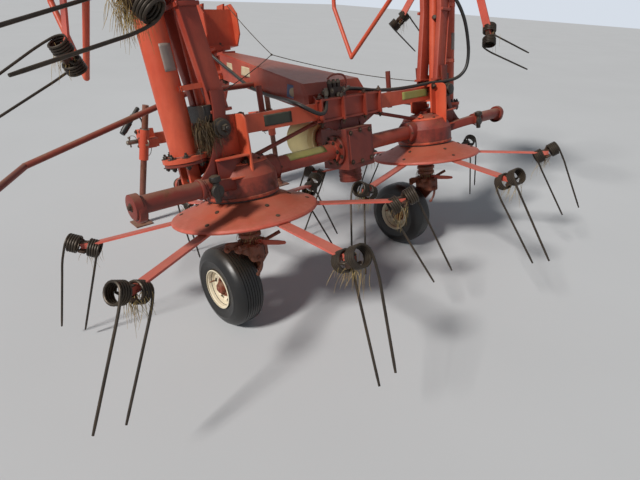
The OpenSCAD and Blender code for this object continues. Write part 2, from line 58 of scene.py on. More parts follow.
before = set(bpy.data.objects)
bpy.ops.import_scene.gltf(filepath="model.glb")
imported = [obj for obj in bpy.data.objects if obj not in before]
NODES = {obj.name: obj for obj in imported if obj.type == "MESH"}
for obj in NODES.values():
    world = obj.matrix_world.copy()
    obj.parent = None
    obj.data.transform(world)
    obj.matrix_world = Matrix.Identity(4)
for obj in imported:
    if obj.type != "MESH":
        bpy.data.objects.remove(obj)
CAD_BOX = [list(corner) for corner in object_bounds()]

# ---------------------------------------------------------------- places
# name, side, folded wing or not, turn of the first arm in degrees
ROTORS = [
    ("left_inner", -1, False, 24.0),
    ("right_inner", 1, False, 9.5),
    ("left_outer", -1, True, 24.5),
    ("right_outer", 1, True, 14.0),
]
SIDES = ((-1, "left"), (1, "right"))
ARMS = 6
# degrees that the coils tip up, and how far inside the CAD box their legs end
TINE_TILT, BOX_GAP = 24.0, 0.006
# degrees that the machine leans, and how far its own origin lies behind the shared frame's
LEAN, LINE_BEHIND = 13.3, 0.26
# inner rotors' and hinges' x, height of the drive tubes' axis, fold in degrees, hinge to outer rotor
INNER_X, HINGE_X, DRIVE_Z, FOLD, REACH = 0.64, 0.85, 0.143, 86.5, 1.13
# a wheel's middle from its rotor's, and the rear faces of the beam and the valve
WHEEL, BEAM_BACK, VALVE_BACK = (-0.04, 0.175, -0.375), -0.0352, -0.0342
# axes of the side tubes and of the lower link pins
SIDE_TUBE_Y, SIDE_TUBE_Z, LINK_Y, LINK_Z = -0.18, 0.162, 1.36, 0.24
# on a wing: straps and rails from its middle plane, and the yoke from its hinge
STRAP_Y, RAIL_Y, YOKE_X = 0.083, 0.055, 0.61
# foot of a fold cylinder, and its rod's eye on the wing, outwards and up from the hinge
CYLINDER_FOOT, EYE_OUT, EYE_UP = (0.74, 0, 0.35), 0.96, 0.118
# radius of a weld bead, and a whole turn
WELD, FULL = 0.0035, 2 * np.pi


def shift(x, y, z):
    """A 4 x 4 matrix that moves."""
    m = np.eye(4)
    m[:3, 3] = x, y, z
    return m


def turn(axis, degrees):
    """A 4 x 4 matrix that turns about x, y or z, right-handed."""
    c, s = math.cos(math.radians(degrees)), math.sin(math.radians(degrees))
    i, j = {"x": (1, 2), "y": (2, 0), "z": (0, 1)}[axis]
    m = np.eye(4)
    m[i, i] = m[j, j] = c
    m[i, j], m[j, i] = -s, s
    return m


def aim(start, end):
    """A 4 x 4 matrix whose z runs from start to end, with its origin at start."""
    start, end = np.array(start, float), np.array(end, float)
    z = (end - start) / np.linalg.norm(end - start)
    x = np.cross(z, np.eye(3)[np.argmin(np.abs(z))])
    x /= np.linalg.norm(x)
    m = np.eye(4)
    m[:3, 0], m[:3, 1], m[:3, 2], m[:3, 3] = x, np.cross(z, x), z, start
    return m


PARK_H = 0.19 + 0.175 * math.sin(math.radians(LEAN)) + 0.375 * math.cos(math.radians(LEAN))
MACHINE = shift(0, -LINE_BEHIND, PARK_H) @ turn("x", -LEAN)


def spot(x, y, z, *turns):
    """A place on the machine: moved there, then turned in its own frame; turns are an axis and degrees, in pairs."""
    place = MACHINE @ shift(x, y, z)
    for axis, degrees in zip(turns[::2], turns[1::2]):
        place = place @ turn(axis, degrees)
    return place


def on_wing(side):
    """The wing's own frame, x outwards from the fold hinge; the left one is the right one mirrored."""
    return MACHINE @ np.diag([side, 1.0, 1.0, 1.0]) @ shift(HINGE_X, 0, DRIVE_Z) @ turn("y", -FOLD)


def on_rotor(side, folded):
    """A rotor's own frame, its axis z and its rim plane z = 0."""
    if not folded:
        return spot(side * INNER_X, 0, 0)
    return MACHINE @ shift(side * HINGE_X, 0, DRIVE_Z) @ turn("y", -side * FOLD) @ shift(side * REACH, 0, -DRIVE_Z)


def carrier(side, folded):
    """The body that holds a rotor's gearbox."""
    return ("wing_left" if side < 0 else "wing_right") if folded else "frame"


def moved(m, points):
    """Points of any array shape (..., 3), through a 4 x 4 matrix."""
    points = np.asarray(points, float)
    return points @ m[:3, :3].T + m[:3, 3]


# ---------------------------------------------------------------- surfaces
class Form:
    """A mesh in the making: grids of points, each of shape (rows, columns, 3), that become quads."""

    def __init__(self):
        self.points, self.quads, self.count = [], [], 0

    def add(self, grid, place=None):
        """Adds a grid, through a 4 x 4 matrix where one is given."""
        grid = np.asarray(grid, float)
        if place is not None:
            grid = moved(place, grid)
        rows, cols = grid.shape[:2]
        n = np.arange(rows * cols).reshape(rows, cols) + self.count
        self.quads.append(np.stack([n[:-1, :-1], n[1:, :-1], n[1:, 1:], n[:-1, 1:]], -1).reshape(-1, 4))
        self.points.append(grid.reshape(-1, 3))
        self.count += rows * cols
        return self

    def spin(self, profile, sides, place=None):
        """Adds a profile of radius and height, in millimetres, turned about z."""
        return self.add(spun(np.array(profile) / 1000, sides), place)

    def cut(self, keep):
        """Leaves out the quads of the last grid for which keep, an array, is False."""
        self.quads[-1] = self.quads[-1][np.asarray(keep).reshape(-1)]
        return self

    def build(self, name, material, body=None, angle=35.0, solid=0.0):
        """Writes the grids into one mesh object at the origin; seams and poles are welded and faces turned outwards."""
        points, quads = np.concatenate(self.points), np.concatenate(self.quads)
        mesh = bpy.data.meshes.new(name)
        mesh.vertices.add(len(points))
        mesh.vertices.foreach_set("co", points.astype(np.float32).ravel())
        mesh.loops.add(quads.size)
        mesh.loops.foreach_set("vertex_index", quads.astype(np.int32).ravel())
        mesh.polygons.add(len(quads))
        mesh.polygons.foreach_set("loop_start", np.arange(0, quads.size, 4, dtype=np.int32))
        mesh.update(calc_edges=True)
        bm = bmesh.new()
        bm.from_mesh(mesh)
        bmesh.ops.remove_doubles(bm, verts=bm.verts, dist=2e-6)
        bmesh.ops.recalc_face_normals(bm, faces=bm.faces)
        bm.to_mesh(mesh)
        bm.free()
        mesh.polygons.foreach_set("use_smooth", np.ones(len(mesh.polygons), bool))
        mesh.set_sharp_from_angle(angle=math.radians(angle))
        piece = bpy.data.objects.new(name, mesh)
        bpy.context.scene.collection.objects.link(piece)
        mesh.materials.append(MATS[material])
        if solid:
            wall = piece.modifiers.new("Wall", "SOLIDIFY")
            wall.thickness, wall.offset = solid, 0.0
        if body:
            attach(piece, body)
        return piece


def spun(profile, sides, start=0.0):
    """A profile of (radius, height) points turned about z: x = r cos u, y = r sin u, z = h."""
    profile = np.asarray(profile, float)
    u = np.radians(start) + np.linspace(0, FULL, sides + 1)
    r, h = profile[:, :1], profile[:, 1:]
    return np.stack([r * np.cos(u), r * np.sin(u), h + 0 * u], -1)


def tube(path, radius, sides=10, ref=None, ends=True):
    """A circle carried along a path: each ring is square to the path and turned from one fixed direction."""
    path = np.asarray(path, float)
    t = np.gradient(path, axis=0)
    t /= np.linalg.norm(t, axis=1, keepdims=True)
    if ref is None:
        tries = np.array([(1, 0, 0), (0, 1, 0), (0, 0, 1), (1, 1, 0), (1, 0, 1), (0, 1, 1), (1, -1, 1)], float)
        tries /= np.linalg.norm(tries, axis=1, keepdims=True)
        ref = tries[np.argmin(np.abs(t @ tries.T).max(0))]
    a = np.cross(ref, t)
    a /= np.linalg.norm(a, axis=1, keepdims=True)
    b = np.cross(t, a)
    u = np.linspace(0, FULL, sides + 1)[None, :, None]
    r = np.broadcast_to(np.asarray(radius, float), len(path))[:, None, None]
    grid = path[:, None] + r * (np.cos(u) * a[:, None] + np.sin(u) * b[:, None])
    if ends:
        first, last = np.broadcast_to(path[0], grid[0].shape), np.broadcast_to(path[-1], grid[0].shape)
        grid = np.concatenate([first[None], grid, last[None]])
    return grid


def curve(points, steps=8):
    """A smooth path through points: on each span, the cubic whose end slopes are half the step over two spans."""
    p = np.asarray(points, float)
    p = np.concatenate([2 * p[:1] - p[1:2], p, 2 * p[-1:] - p[-2:-1]])
    t = np.linspace(0, 1, steps, endpoint=False)[None, :, None]
    a, b, c, d = (p[i:len(p) - 3 + i][:, None] for i in range(4))
    out = 0.5 * (2 * b + (c - a) * t + (2 * a - 5 * b + 4 * c - d) * t**2 + (3 * b - a - 3 * c + d) * t**3)
    return np.concatenate([out.reshape(-1, 3), p[-2:-1]])


def slab(outline, thick, bevel=0.001):
    """An outline in x and y made a plate about z = 0: rings step in by the bevel at each face, then close."""
    o = np.asarray(outline, float)
    o = np.concatenate([o, o[:1]])
    mid = o[:-1].mean(0)
    span = np.linalg.norm(o - mid, axis=1, keepdims=True)
    inner = mid + (o - mid) * (1 - bevel / np.maximum(span, bevel * 2))
    h = thick / 2
    rings = [(mid + 0 * o, h), (inner, h), (o, h - bevel), (o, bevel - h), (inner, -h), (mid + 0 * o, -h)]
    return np.stack([np.column_stack([xy, np.full(len(xy), z)]) for xy, z in rings])


def rounded(w, d, r, steps=4):
    """A rectangle's outline with rounded corners: a quarter circle about each corner's middle."""
    u = np.linspace(0, np.pi / 2, steps)
    mids = np.array([(w / 2 - r, d / 2 - r), (r - w / 2, d / 2 - r), (r - w / 2, r - d / 2), (w / 2 - r, r - d / 2)])
    turns = u[None] + np.arange(4)[:, None] * np.pi / 2
    return (mids[:, None] + r * np.stack([np.cos(turns), np.sin(turns)], -1)).reshape(-1, 2)


def block(w, d, h, r=0.003, bevel=0.002):
    """A block with rounded corners, about the origin."""
    return slab(rounded(w, d, r), h, bevel)


def beam(path, across, wide, high, r=0.003):
    """A rounded rectangle carried along a path in the plane square to across; its width and height may change."""
    path, across = np.asarray(path, float), np.asarray(across, float)
    along = np.gradient(path, axis=0)
    up = np.cross(along, across)
    up /= np.linalg.norm(up, axis=1, keepdims=True)
    wide, high = (np.broadcast_to(np.asarray(v, float), len(path)) for v in (wide, high))
    rings = [middle + ring[:, :1] * across + ring[:, 1:] * rise for middle, rise, ring in
             zip(path, up, (rounded(w, h, r, 3) for w, h in zip(wide, high)))]
    rings = [np.concatenate([ring, ring[:1]]) for ring in rings]
    ends = [np.broadcast_to(path[i], rings[0].shape) for i in (0, -1)]
    return np.stack([ends[0], *rings, ends[1]])


def drum(r, low, high):
    """Half profile of a plain cylinder."""
    return [(0, low), (r, low), (r, high), (0, high)]


def nut(size):
    """Half profile of a hexagon head with its top corners turned off, seat at z = 0, to be spun with six sides."""
    r, h = size * 0.577, size * 0.62
    return [(0, 0), (r, 0), (r, h * 0.82), (r * 0.86, h), (0, h)]


def bolt(form, place, size, stud=0.0, washer=True):
    """A hexagon head with its washer, and a stub of thread where stud is over nothing."""
    base = 0.0
    if washer:
        w, base = size * 1.02, size * 0.13
        form.add(spun(drum(w, 0, base), 20), place)
    form.add(spun(nut(size), 6, 13.0), place @ shift(0, 0, base))
    if stud:
        r, top = size * 0.3, base + size * 0.62
        form.add(spun([(0, top), (r, top), (r, top + stud - r * 0.3), (r * 0.7, top + stud), (0, top + stud)], 12),
                 place)


def bolt_ring(form, place, number, radius, lift, size, first, tilt=0.0):
    """Bolts spaced evenly on a circle about z, from a first angle, each tipped outwards by the tilt."""
    for k in range(number):
        seat = place @ turn("z", first + 360 / number * k) @ shift(radius, 0, lift) @ turn("y", tilt)
        bolt(form, seat, size)


# ---------------------------------------------------------------- shading
MATS = {}


def linear(rgb):
    """A colour written as it looks, made linear for the shaders."""
    c = np.asarray(rgb[:3], float)
    return tuple(np.where(c <= 0.04045, c / 12.92, ((c + 0.055) / 1.055) ** 2.4)) + (1.0,)


class Value:
    """What a shader works out at one of its sockets; sums and products of it add math nodes."""

    def __init__(self, tree, socket):
        self.tree, self.socket = tree, socket

    def math(self, what, a, b):
        """A math node of two numbers or Values."""
        return put(self.tree, "Math", {0: a, 1: b}, operation=what)

    def __add__(self, other):
        return self.math("ADD", self, other)

    def __sub__(self, other):
        return self.math("SUBTRACT", self, other)

    def __rsub__(self, other):
        return self.math("SUBTRACT", other, self)

    def __mul__(self, other):
        return self.math("MULTIPLY", self, other)

    def __truediv__(self, other):
        return self.math("DIVIDE", self, other)

    def peak(self, other):
        """The greater of the two."""
        return self.math("MAXIMUM", self, other)

    def clamped(self):
        """Kept from 0 to 1."""
        return put(self.tree, "Clamp", {0: self})

    def ramp(self, low, high):
        """A smooth step from 0 at low to 1 at high."""
        return put(self.tree, "MapRange", {0: self, 1: low, 2: high}, interpolation_type="SMOOTHSTEP")


def fill(tree, node, inputs):
    """Fills a node's inputs, each with a plain value or with a link from another node's Value."""
    for key, value in inputs.items():
        if isinstance(value, Value):
            tree.links.new(value.socket, node.inputs[key])
        else:
            node.inputs[key].default_value = value


def put(tree, kind, inputs=None, out=0, **settings):
    """Adds a node, sets its properties, fills its inputs, and gives one of its outputs as a Value."""
    node = tree.nodes.new("ShaderNode" + kind)
    for key, value in settings.items():
        setattr(node, key, value)
    fill(tree, node, inputs or {})
    return Value(tree, node.outputs[out])


def noise(tree, at, scale, detail, rough=0.7, twist=0.0):
    """Noise at a place, round a middle of 0.5."""
    return put(tree, "TexNoise", {"Vector": at, "Scale": scale, "Detail": detail, "Roughness": rough,
                                  "Distortion": twist})


def mixed(tree, factor, a, b):
    """Colour a, or b as the factor nears 1."""
    return put(tree, "Mix", {0: factor, 6: a, 7: b}, 2, data_type="RGBA")


def weather(tree, where, scale, chips, rust):
    """Masks of weather: fade is broad clouds, chips are small spots, streaks run down, grain is fine."""
    at = put(tree, "VectorMath", {0: where, 3: scale}, operation="SCALE")
    down = put(tree, "Mapping", {"Vector": at, "Scale": (13.0, 13.0, 3.5)})
    chip, bloom = noise(tree, at, 24.0, 8.0, 0.78, 0.6), noise(tree, at, 7.0, 9.0, 0.72, 0.4)
    return {"Fade": noise(tree, at, 3.2, 5.0, 0.62).ramp(0.3, 0.7),
            "Chips": (chip - (0.78 - chips * 0.2)).ramp(0.0, 0.03),
            "Rust": (bloom - (0.76 - rust * 0.3)).ramp(-0.02, 0.1),
            "Streaks": noise(tree, down, 1.3, 7.0).ramp(0.42, 0.72),
            "Grain": noise(tree, at, 46.0, 6.0)}


def dust(tree, where, amount, steepness):
    """Dust lies on what faces up: the normal's z, broken up by noise."""
    up = put(tree, "SeparateXYZ", {0: put(tree, "NewGeometry", out="Normal")}, 2)
    cloud, crumbs = noise(tree, where, 11.0, 7.0), noise(tree, where, 130.0, 3.0)
    flat = (up + (cloud - 0.5) * 0.9).ramp(steepness, 1.15)
    return {"Mask": (flat * (crumbs * 0.6 + 0.7) * amount).clamped(),
            "Tint": mixed(tree, cloud, linear((0.5, 0.44, 0.35)), linear((0.66, 0.6, 0.5)))}


def near(tree, where, centre, reach):
    """A soft blot round a point, for grease at a pin: a step of the distance over the reach, frayed by noise."""
    gap = put(tree, "VectorMath", {0: where, 1: centre}, "Value", operation="DISTANCE")
    return {"Mask": (gap / reach + (noise(tree, where, 26.0, 6.0) - 0.5) * 0.9).ramp(1.05, 0.6)}


GROUPS = {"Weather": (weather, {"Scale": 1.0, "Chips": 0.5, "Rust": 0.5}),
          "Dust": (dust, {"Amount": 0.5, "Steepness": 0.55}),
          "Near": (near, {"Centre": (0, 0, 0), "Reach": 0.1})}


def make_group(name):
    """A shader node group, made once: its work gets the tree, the place and its inputs, and gives its outputs."""
    work, inputs = GROUPS[name]
    tree = bpy.data.node_groups.new(name, "ShaderNodeTree")
    for label, value in inputs.items():
        kind = "NodeSocketFloat" if isinstance(value, float) else "NodeSocketVector"
        tree.interface.new_socket(label, in_out="INPUT", socket_type=kind).default_value = value
    given = tree.nodes.new("NodeGroupInput").outputs
    results = work(tree, put(tree, "TexCoord", out="Object"), *(Value(tree, given[label]) for label in inputs))
    for label in results:
        kind = "NodeSocketColor" if label == "Tint" else "NodeSocketFloat"
        tree.interface.new_socket(label, in_out="OUTPUT", socket_type=kind)
    fill(tree, tree.nodes.new("NodeGroupOutput"), results)


def use(tree, name, **values):
    """Places a shared group in a material, with its own values; returns its outputs by name."""
    if name not in bpy.data.node_groups:
        make_group(name)
    node = tree.nodes.new("ShaderNodeGroup")
    node.node_tree = bpy.data.node_groups[name]
    fill(tree, node, values)
    return {socket.name: Value(tree, socket) for socket in node.outputs}


def new_material(key, name):
    """An empty material under its key; returns its tree."""
    MATS[key] = mat = bpy.data.materials.new(name)
    mat.use_nodes = True
    mat.diffuse_color = (0.5, 0.5, 0.5, 1)
    return mat.node_tree


def link_up(tree, colour, rough, height, metallic=0.0, bump=0.0015):
    """Gives a material's shader its colour, roughness, metal and a bump from the height."""
    normal = put(tree, "Bump", {"Strength": 0.6, "Distance": bump, "Height": height})
    fill(tree, tree.nodes["Principled BSDF"], {"Base Color": colour, "Roughness": rough, "Metallic": metallic,
                                               "Normal": normal})


def painted(key, name, rgb, faded, dark, chips=0.5, rust=0.4, dust=0.25, blots=(), streaks=0.22):
    """Sun-faded paint over steel: cloudy fading, stains, chips and rust, dust on top, and blots of another tone."""
    tree = new_material(key, name)
    w, d = use(tree, "Weather", Scale=1.0, Chips=chips, Rust=rust), use(tree, "Dust", Amount=dust)
    c = mixed(tree, w["Fade"], linear(rgb), linear(faded))
    c = mixed(tree, w["Streaks"] * streaks, c, linear(dark))
    tone = mixed(tree, w["Grain"], linear((0.33, 0.17, 0.1)), linear((0.46, 0.26, 0.15)))
    c = mixed(tree, w["Rust"] * 0.85, c, tone)
    c = mixed(tree, w["Chips"], c, linear((0.2, 0.13, 0.1)))
    for centre, reach, share, tone in blots:
        c = mixed(tree, use(tree, "Near", Centre=centre, Reach=reach)["Mask"] * share, c, linear(tone))
    rough = w["Grain"] * 0.22 + 0.36 + w["Rust"].peak(w["Chips"]) * 0.35 + d["Mask"] * 0.35
    height = w["Grain"] * 0.35 + w["Rust"] * w["Grain"] * 0.9 - w["Chips"] * 0.5
    link_up(tree, mixed(tree, d["Mask"], c, d["Tint"]), rough.clamped(), height)


def worn_metal(key, name, rgb, dark, rough_at, metallic, rust=0.5, scale=1.0, dust=0.2, hay=0.0):
    """Bare steel with a brown skin: two tones by cloud, rust blooms, and a roughness that follows the grain."""
    tree = new_material(key, name)
    w, d = use(tree, "Weather", Scale=scale, Chips=0.3, Rust=rust), use(tree, "Dust", Amount=dust)
    c = mixed(tree, w["Fade"], linear(rgb), linear(dark))
    c = mixed(tree, w["Rust"] * 0.8, c, linear((0.36, 0.2, 0.12)))
    c = mixed(tree, w["Streaks"] * hay, c, linear((0.45, 0.36, 0.22)))
    rough = w["Grain"] * 0.25 + (rough_at - 0.1) + w["Rust"] * 0.35
    metal = metallic - w["Rust"] * (metallic * 0.8)
    link_up(tree, mixed(tree, d["Mask"], c, d["Tint"]), rough.clamped(), w["Grain"] + w["Rust"], metal.clamped(),
            0.0007)


def plain_matter(key, name, rgb, other, rough_at=0.5, scale=1.0, dust=0.3, bump=0.0008):
    """Rubber, plastic or hay: two tones by cloud with fine grain, and dust on top."""
    tree = new_material(key, name)
    w, d = use(tree, "Weather", Scale=scale, Chips=0.2, Rust=0.2), use(tree, "Dust", Amount=dust, Steepness=0.3)
    c = mixed(tree, w["Fade"], linear(rgb), linear(other))
    c = mixed(tree, w["Streaks"] * 0.5, c, linear(other))
    rough = w["Grain"] * 0.12 + (rough_at - 0.06)
    link_up(tree, mixed(tree, d["Mask"], c, d["Tint"]), rough.clamped(), w["Grain"], bump=bump)


def make_materials():
    """All materials but the floor's, under the keys that the pieces name."""
    c = bpy.context.scene.tedder_colours
    red, greasy = (c.paint, c.paint_faded, c.paint_dark), (0.1, 0.085, 0.07)

    def blot(place, reach, share, tone=greasy):
        """A blot about a place's origin."""
        return tuple(float(v) for v in place[:3, 3]), reach, share, tone

    near_pins = [blot(spot(side * HINGE_X, y, DRIVE_Z), 0.12, 0.9) for side in (-1, 1) for y in (-0.1, 0.1)]
    near_pins += [blot(spot(side * 0.74, y, 0.345), 0.075, 0.9) for side in (-1, 1) for y in (-0.085, 0.085)]
    near_pins += [blot(spot(side * INNER_X, 0, 0.05), 0.185, 0.75) for side in (-1, 1)]
    plates = [blot(on_rotor(side, folded), 0.36, 1.0, (0.7, 0.31, 0.22)) for _, side, folded, _ in ROTORS]
    painted("paint", "faded_red_paint", *red, chips=0.42, rust=0.32)
    painted("paint_hinge", "greasy_red_paint", *red, chips=0.55, rust=0.5, blots=near_pins)
    for key, name, rgb, faded, dark, look in (
            # a darker copy of the red paint, partly painted shade for parts that lie in shadow, partly grease
            ("paint_shade", "dark_red_paint_painted_shade_and_grease", (0.45, 0.16, 0.12), (0.52, 0.22, 0.16), (0.24, 0.1, 0.08),
             dict(chips=0.6, rust=0.6, dust=0.35)),
            # the gearboxes' paint, darkened to maroon as painted shade, with greasy blots round the pins
            ("paint_gear", "dark_gear_paint_painted_shade_and_grease", (0.5, 0.17, 0.13), (0.6, 0.26, 0.19), (0.22, 0.09, 0.07),
             dict(chips=0.5, rust=0.55, blots=near_pins)),
            # a darker copy of the red paint: painted shade for the beam channel, the drive tubes and the wing rails
            ("paint_beam_painted_shade", "beam_paint_painted_shade", (0.58, 0.21, 0.15), (0.68, 0.31, 0.23), (0.32, 0.11, 0.09),
             dict(chips=0.45, rust=0.4)),
            ("paint_stand", "rusty_stand_paint", (0.46, 0.24, 0.18), (0.5, 0.32, 0.25), (0.22, 0.14, 0.11),
             dict(chips=0.8, rust=0.9, dust=0.3)),
            ("paint_arm", "worn_arm_paint", (0.78, 0.34, 0.28), (0.8, 0.42, 0.36), c.paint_dark,
             dict(chips=0.5, rust=0.45, dust=0.22, blots=plates)),
            ("paint_leg", "muddy_leg_paint", (0.52, 0.2, 0.13), (0.5, 0.3, 0.2), (0.2, 0.13, 0.1),
             dict(chips=0.8, rust=0.9, dust=0.5, streaks=0.8)),
            ("rim", "cream_rim_paint", c.rim, (0.88, 0.84, 0.74), (0.55, 0.43, 0.31),
             dict(chips=0.6, rust=0.5, dust=0.2))):
        painted(key, name, rgb, faded, dark, **look)
    worn_metal("wire", "spring_steel", c.wire, (0.17, 0.145, 0.12), 0.42, 0.45, rust=0.15, scale=2.0, dust=0.1,
               hay=0.15)
    worn_metal("steel", "bare_steel", (0.52, 0.48, 0.43), (0.3, 0.25, 0.21), 0.42, 0.75, rust=0.55, dust=0.3)
    worn_metal("bolt", "rusty_bolts", (0.36, 0.28, 0.23), (0.22, 0.16, 0.13), 0.5, 0.6, rust=0.6, scale=3.0, dust=0.3)
    worn_metal("rod", "plated_rod", (0.8, 0.8, 0.78), (0.7, 0.69, 0.66), 0.2, 0.95, rust=0.1, dust=0.1)
    worn_metal("valve", "oily_casting", (0.27, 0.17, 0.14), (0.16, 0.11, 0.09), 0.45, 0.3, rust=0.6, scale=2.0,
               dust=0.35)
    for key, name, rgb, other, look in (("tyre", "tyre_rubber", c.rubber, (0.12, 0.115, 0.11),
                                         dict(rough_at=0.38, dust=0.1)), ("hose", "hose_rubber",
                                                                          (0.075, 0.075, 0.08), (0.14, 0.135, 0.13),
                                                                          dict(rough_at=0.45, dust=0.2, scale=2.0)),
                                        ("rope", "old_rope", (0.2, 0.19, 0.17), (0.32, 0.29, 0.25),
                                         dict(rough_at=0.8, dust=0.2, scale=6.0, bump=0.0004)),
                                        ("guard", "yellow_plastic", c.guard, (0.86, 0.8, 0.56), {}),
                                        ("hay", "dry_hay", c.hay, (0.5, 0.4, 0.24),
                                         dict(rough_at=0.8, scale=6.0, dust=0.1, bump=0.0003)),
                                        ("hay_dark", "greasy_hay", (0.17, 0.13, 0.09), (0.4, 0.32, 0.2),
                                         dict(rough_at=0.7, scale=9.0, dust=0.1, bump=0.0003)),
                                        ("grease", "old_grease", (0.085, 0.07, 0.06), (0.17, 0.13, 0.09),
                                         dict(rough_at=0.4, scale=4.0, dust=0.25, bump=0.003)),
                                        ("plate_olive", "olive_sticker", (0.55, 0.54, 0.27), (0.62, 0.6, 0.36),
                                         dict(scale=2.0, dust=0.4)), ("plate_black", "black_sticker",
                                                                      (0.16, 0.17, 0.13), (0.24, 0.25, 0.19),
                                                                      dict(rough_at=0.45, scale=2.0, dust=0.35)),
                                        ("plate_grey", "grey_sticker", (0.47, 0.42, 0.4), (0.58, 0.52, 0.49),
                                         dict(scale=2.0)), ("plate_cream", "cream_sticker", (0.8, 0.74, 0.62),
                                                            (0.7, 0.62, 0.5), dict(scale=2.0)),
                                        ("plate_blue", "blue_sticker", (0.25, 0.32, 0.52), (0.45, 0.48, 0.58),
                                         dict(scale=2.0))):
        plain_matter(key, name, rgb, other, **look)


# how a node's name starts, and its material; the darker paints of the gearboxes, the beam channel, the drive tubes and
# the parts in paint_shade are partly painted shade
CAD_LOOKS = (("gearbox", "paint_gear"), ("hinge_bracket", "paint_hinge"), ("disc", "paint_arm"), ("leg", "paint_leg"),
             ("valve_block", "valve"), ("centre_gearbox", "paint_shade"), ("brace_rods", "paint_shade"),
             ("front_guard", "paint_shade"), ("beam_channel", "paint_beam_painted_shade"), ("drive_tubes", "paint_beam_painted_shade"),
             ("stand", "paint_stand"), ("lower_link_pins", "steel"), ("pto_stub", "rod"), ("cylinder_rod", "rod"),
             ("tines", "wire"), ("tyre", "tyre"), ("rim", "rim"), ("pto_guard", "guard"), ("hydraulic_hoses", "hose"),
             ("", "paint"))


# ---------------------------------------------------------------- settings
class TedderSizes(bpy.types.PropertyGroup):
    wire: FloatProperty(name="Tine wire", description="Diameter of the tine wire", default=0.0095, unit="LENGTH")
    coil_radius: FloatProperty(name="Coil radius", description="From a coil's axis to its wire's middle", default=0.034,
                               unit="LENGTH")
    coil_spacing: FloatProperty(name="Coil spacing", description="Between the middles of an arm's two coils",
                                default=0.082, unit="LENGTH")
    coil_pitch: FloatProperty(name="Coil pitch", description="Wire to wire along a coil", default=0.0095, unit="LENGTH")
    coil_turns: IntProperty(name="Coil turns", description="Full turns in a coil", default=4, min=2, max=6)
    tyre_radius: FloatProperty(name="Tyre radius", description="Outer radius of a tyre", default=0.19, unit="LENGTH")
    tyre_width: FloatProperty(name="Tyre width", description="Widest part of a tyre", default=0.15, unit="LENGTH")
    hose: FloatProperty(name="Hose", description="Diameter of the thick hoses", default=0.018, unit="LENGTH")
    camera_lens: FloatProperty(name="Lens", description="Focal length on a 36 mm wide frame", default=25.77)


class TedderColours(bpy.types.PropertyGroup):
    paint: FloatVectorProperty(name="Paint", description="Red paint", subtype="COLOR_GAMMA", default=(0.75, 0.28, 0.17))
    paint_faded: FloatVectorProperty(name="Faded paint", description="Red paint where the sun has faded it",
                                     subtype="COLOR_GAMMA", default=(0.82, 0.38, 0.26))
    paint_dark: FloatVectorProperty(name="Dark paint", description="Stained red paint", subtype="COLOR_GAMMA",
                                    default=(0.46, 0.15, 0.11))
    wire: FloatVectorProperty(name="Wire", description="Spring steel", subtype="COLOR_GAMMA",
                              default=(0.25, 0.215, 0.18))
    rubber: FloatVectorProperty(name="Tyre", description="Tyre rubber", subtype="COLOR_GAMMA",
                                default=(0.07, 0.07, 0.074))
    rim: FloatVectorProperty(name="Rim", description="Cream rim paint", subtype="COLOR_GAMMA",
                             default=(0.9, 0.86, 0.76))
    guard: FloatVectorProperty(name="Guard", description="Yellow plastic guard", subtype="COLOR_GAMMA",
                               default=(0.95, 0.9, 0.66))
    hay: FloatVectorProperty(name="Hay", description="Dry hay", subtype="COLOR_GAMMA", default=(0.74, 0.65, 0.44))
    floor: FloatVectorProperty(name="Floor", description="Plain floor", subtype="COLOR_GAMMA",
                               default=(0.8, 0.81, 0.82))


class TedderPiece(bpy.types.Operator):
    """What the operators of the pieces share"""
    bl_options = {"REGISTER", "UNDO"}

    def execute(self, context):
        self.make(context)
        return {"FINISHED"}


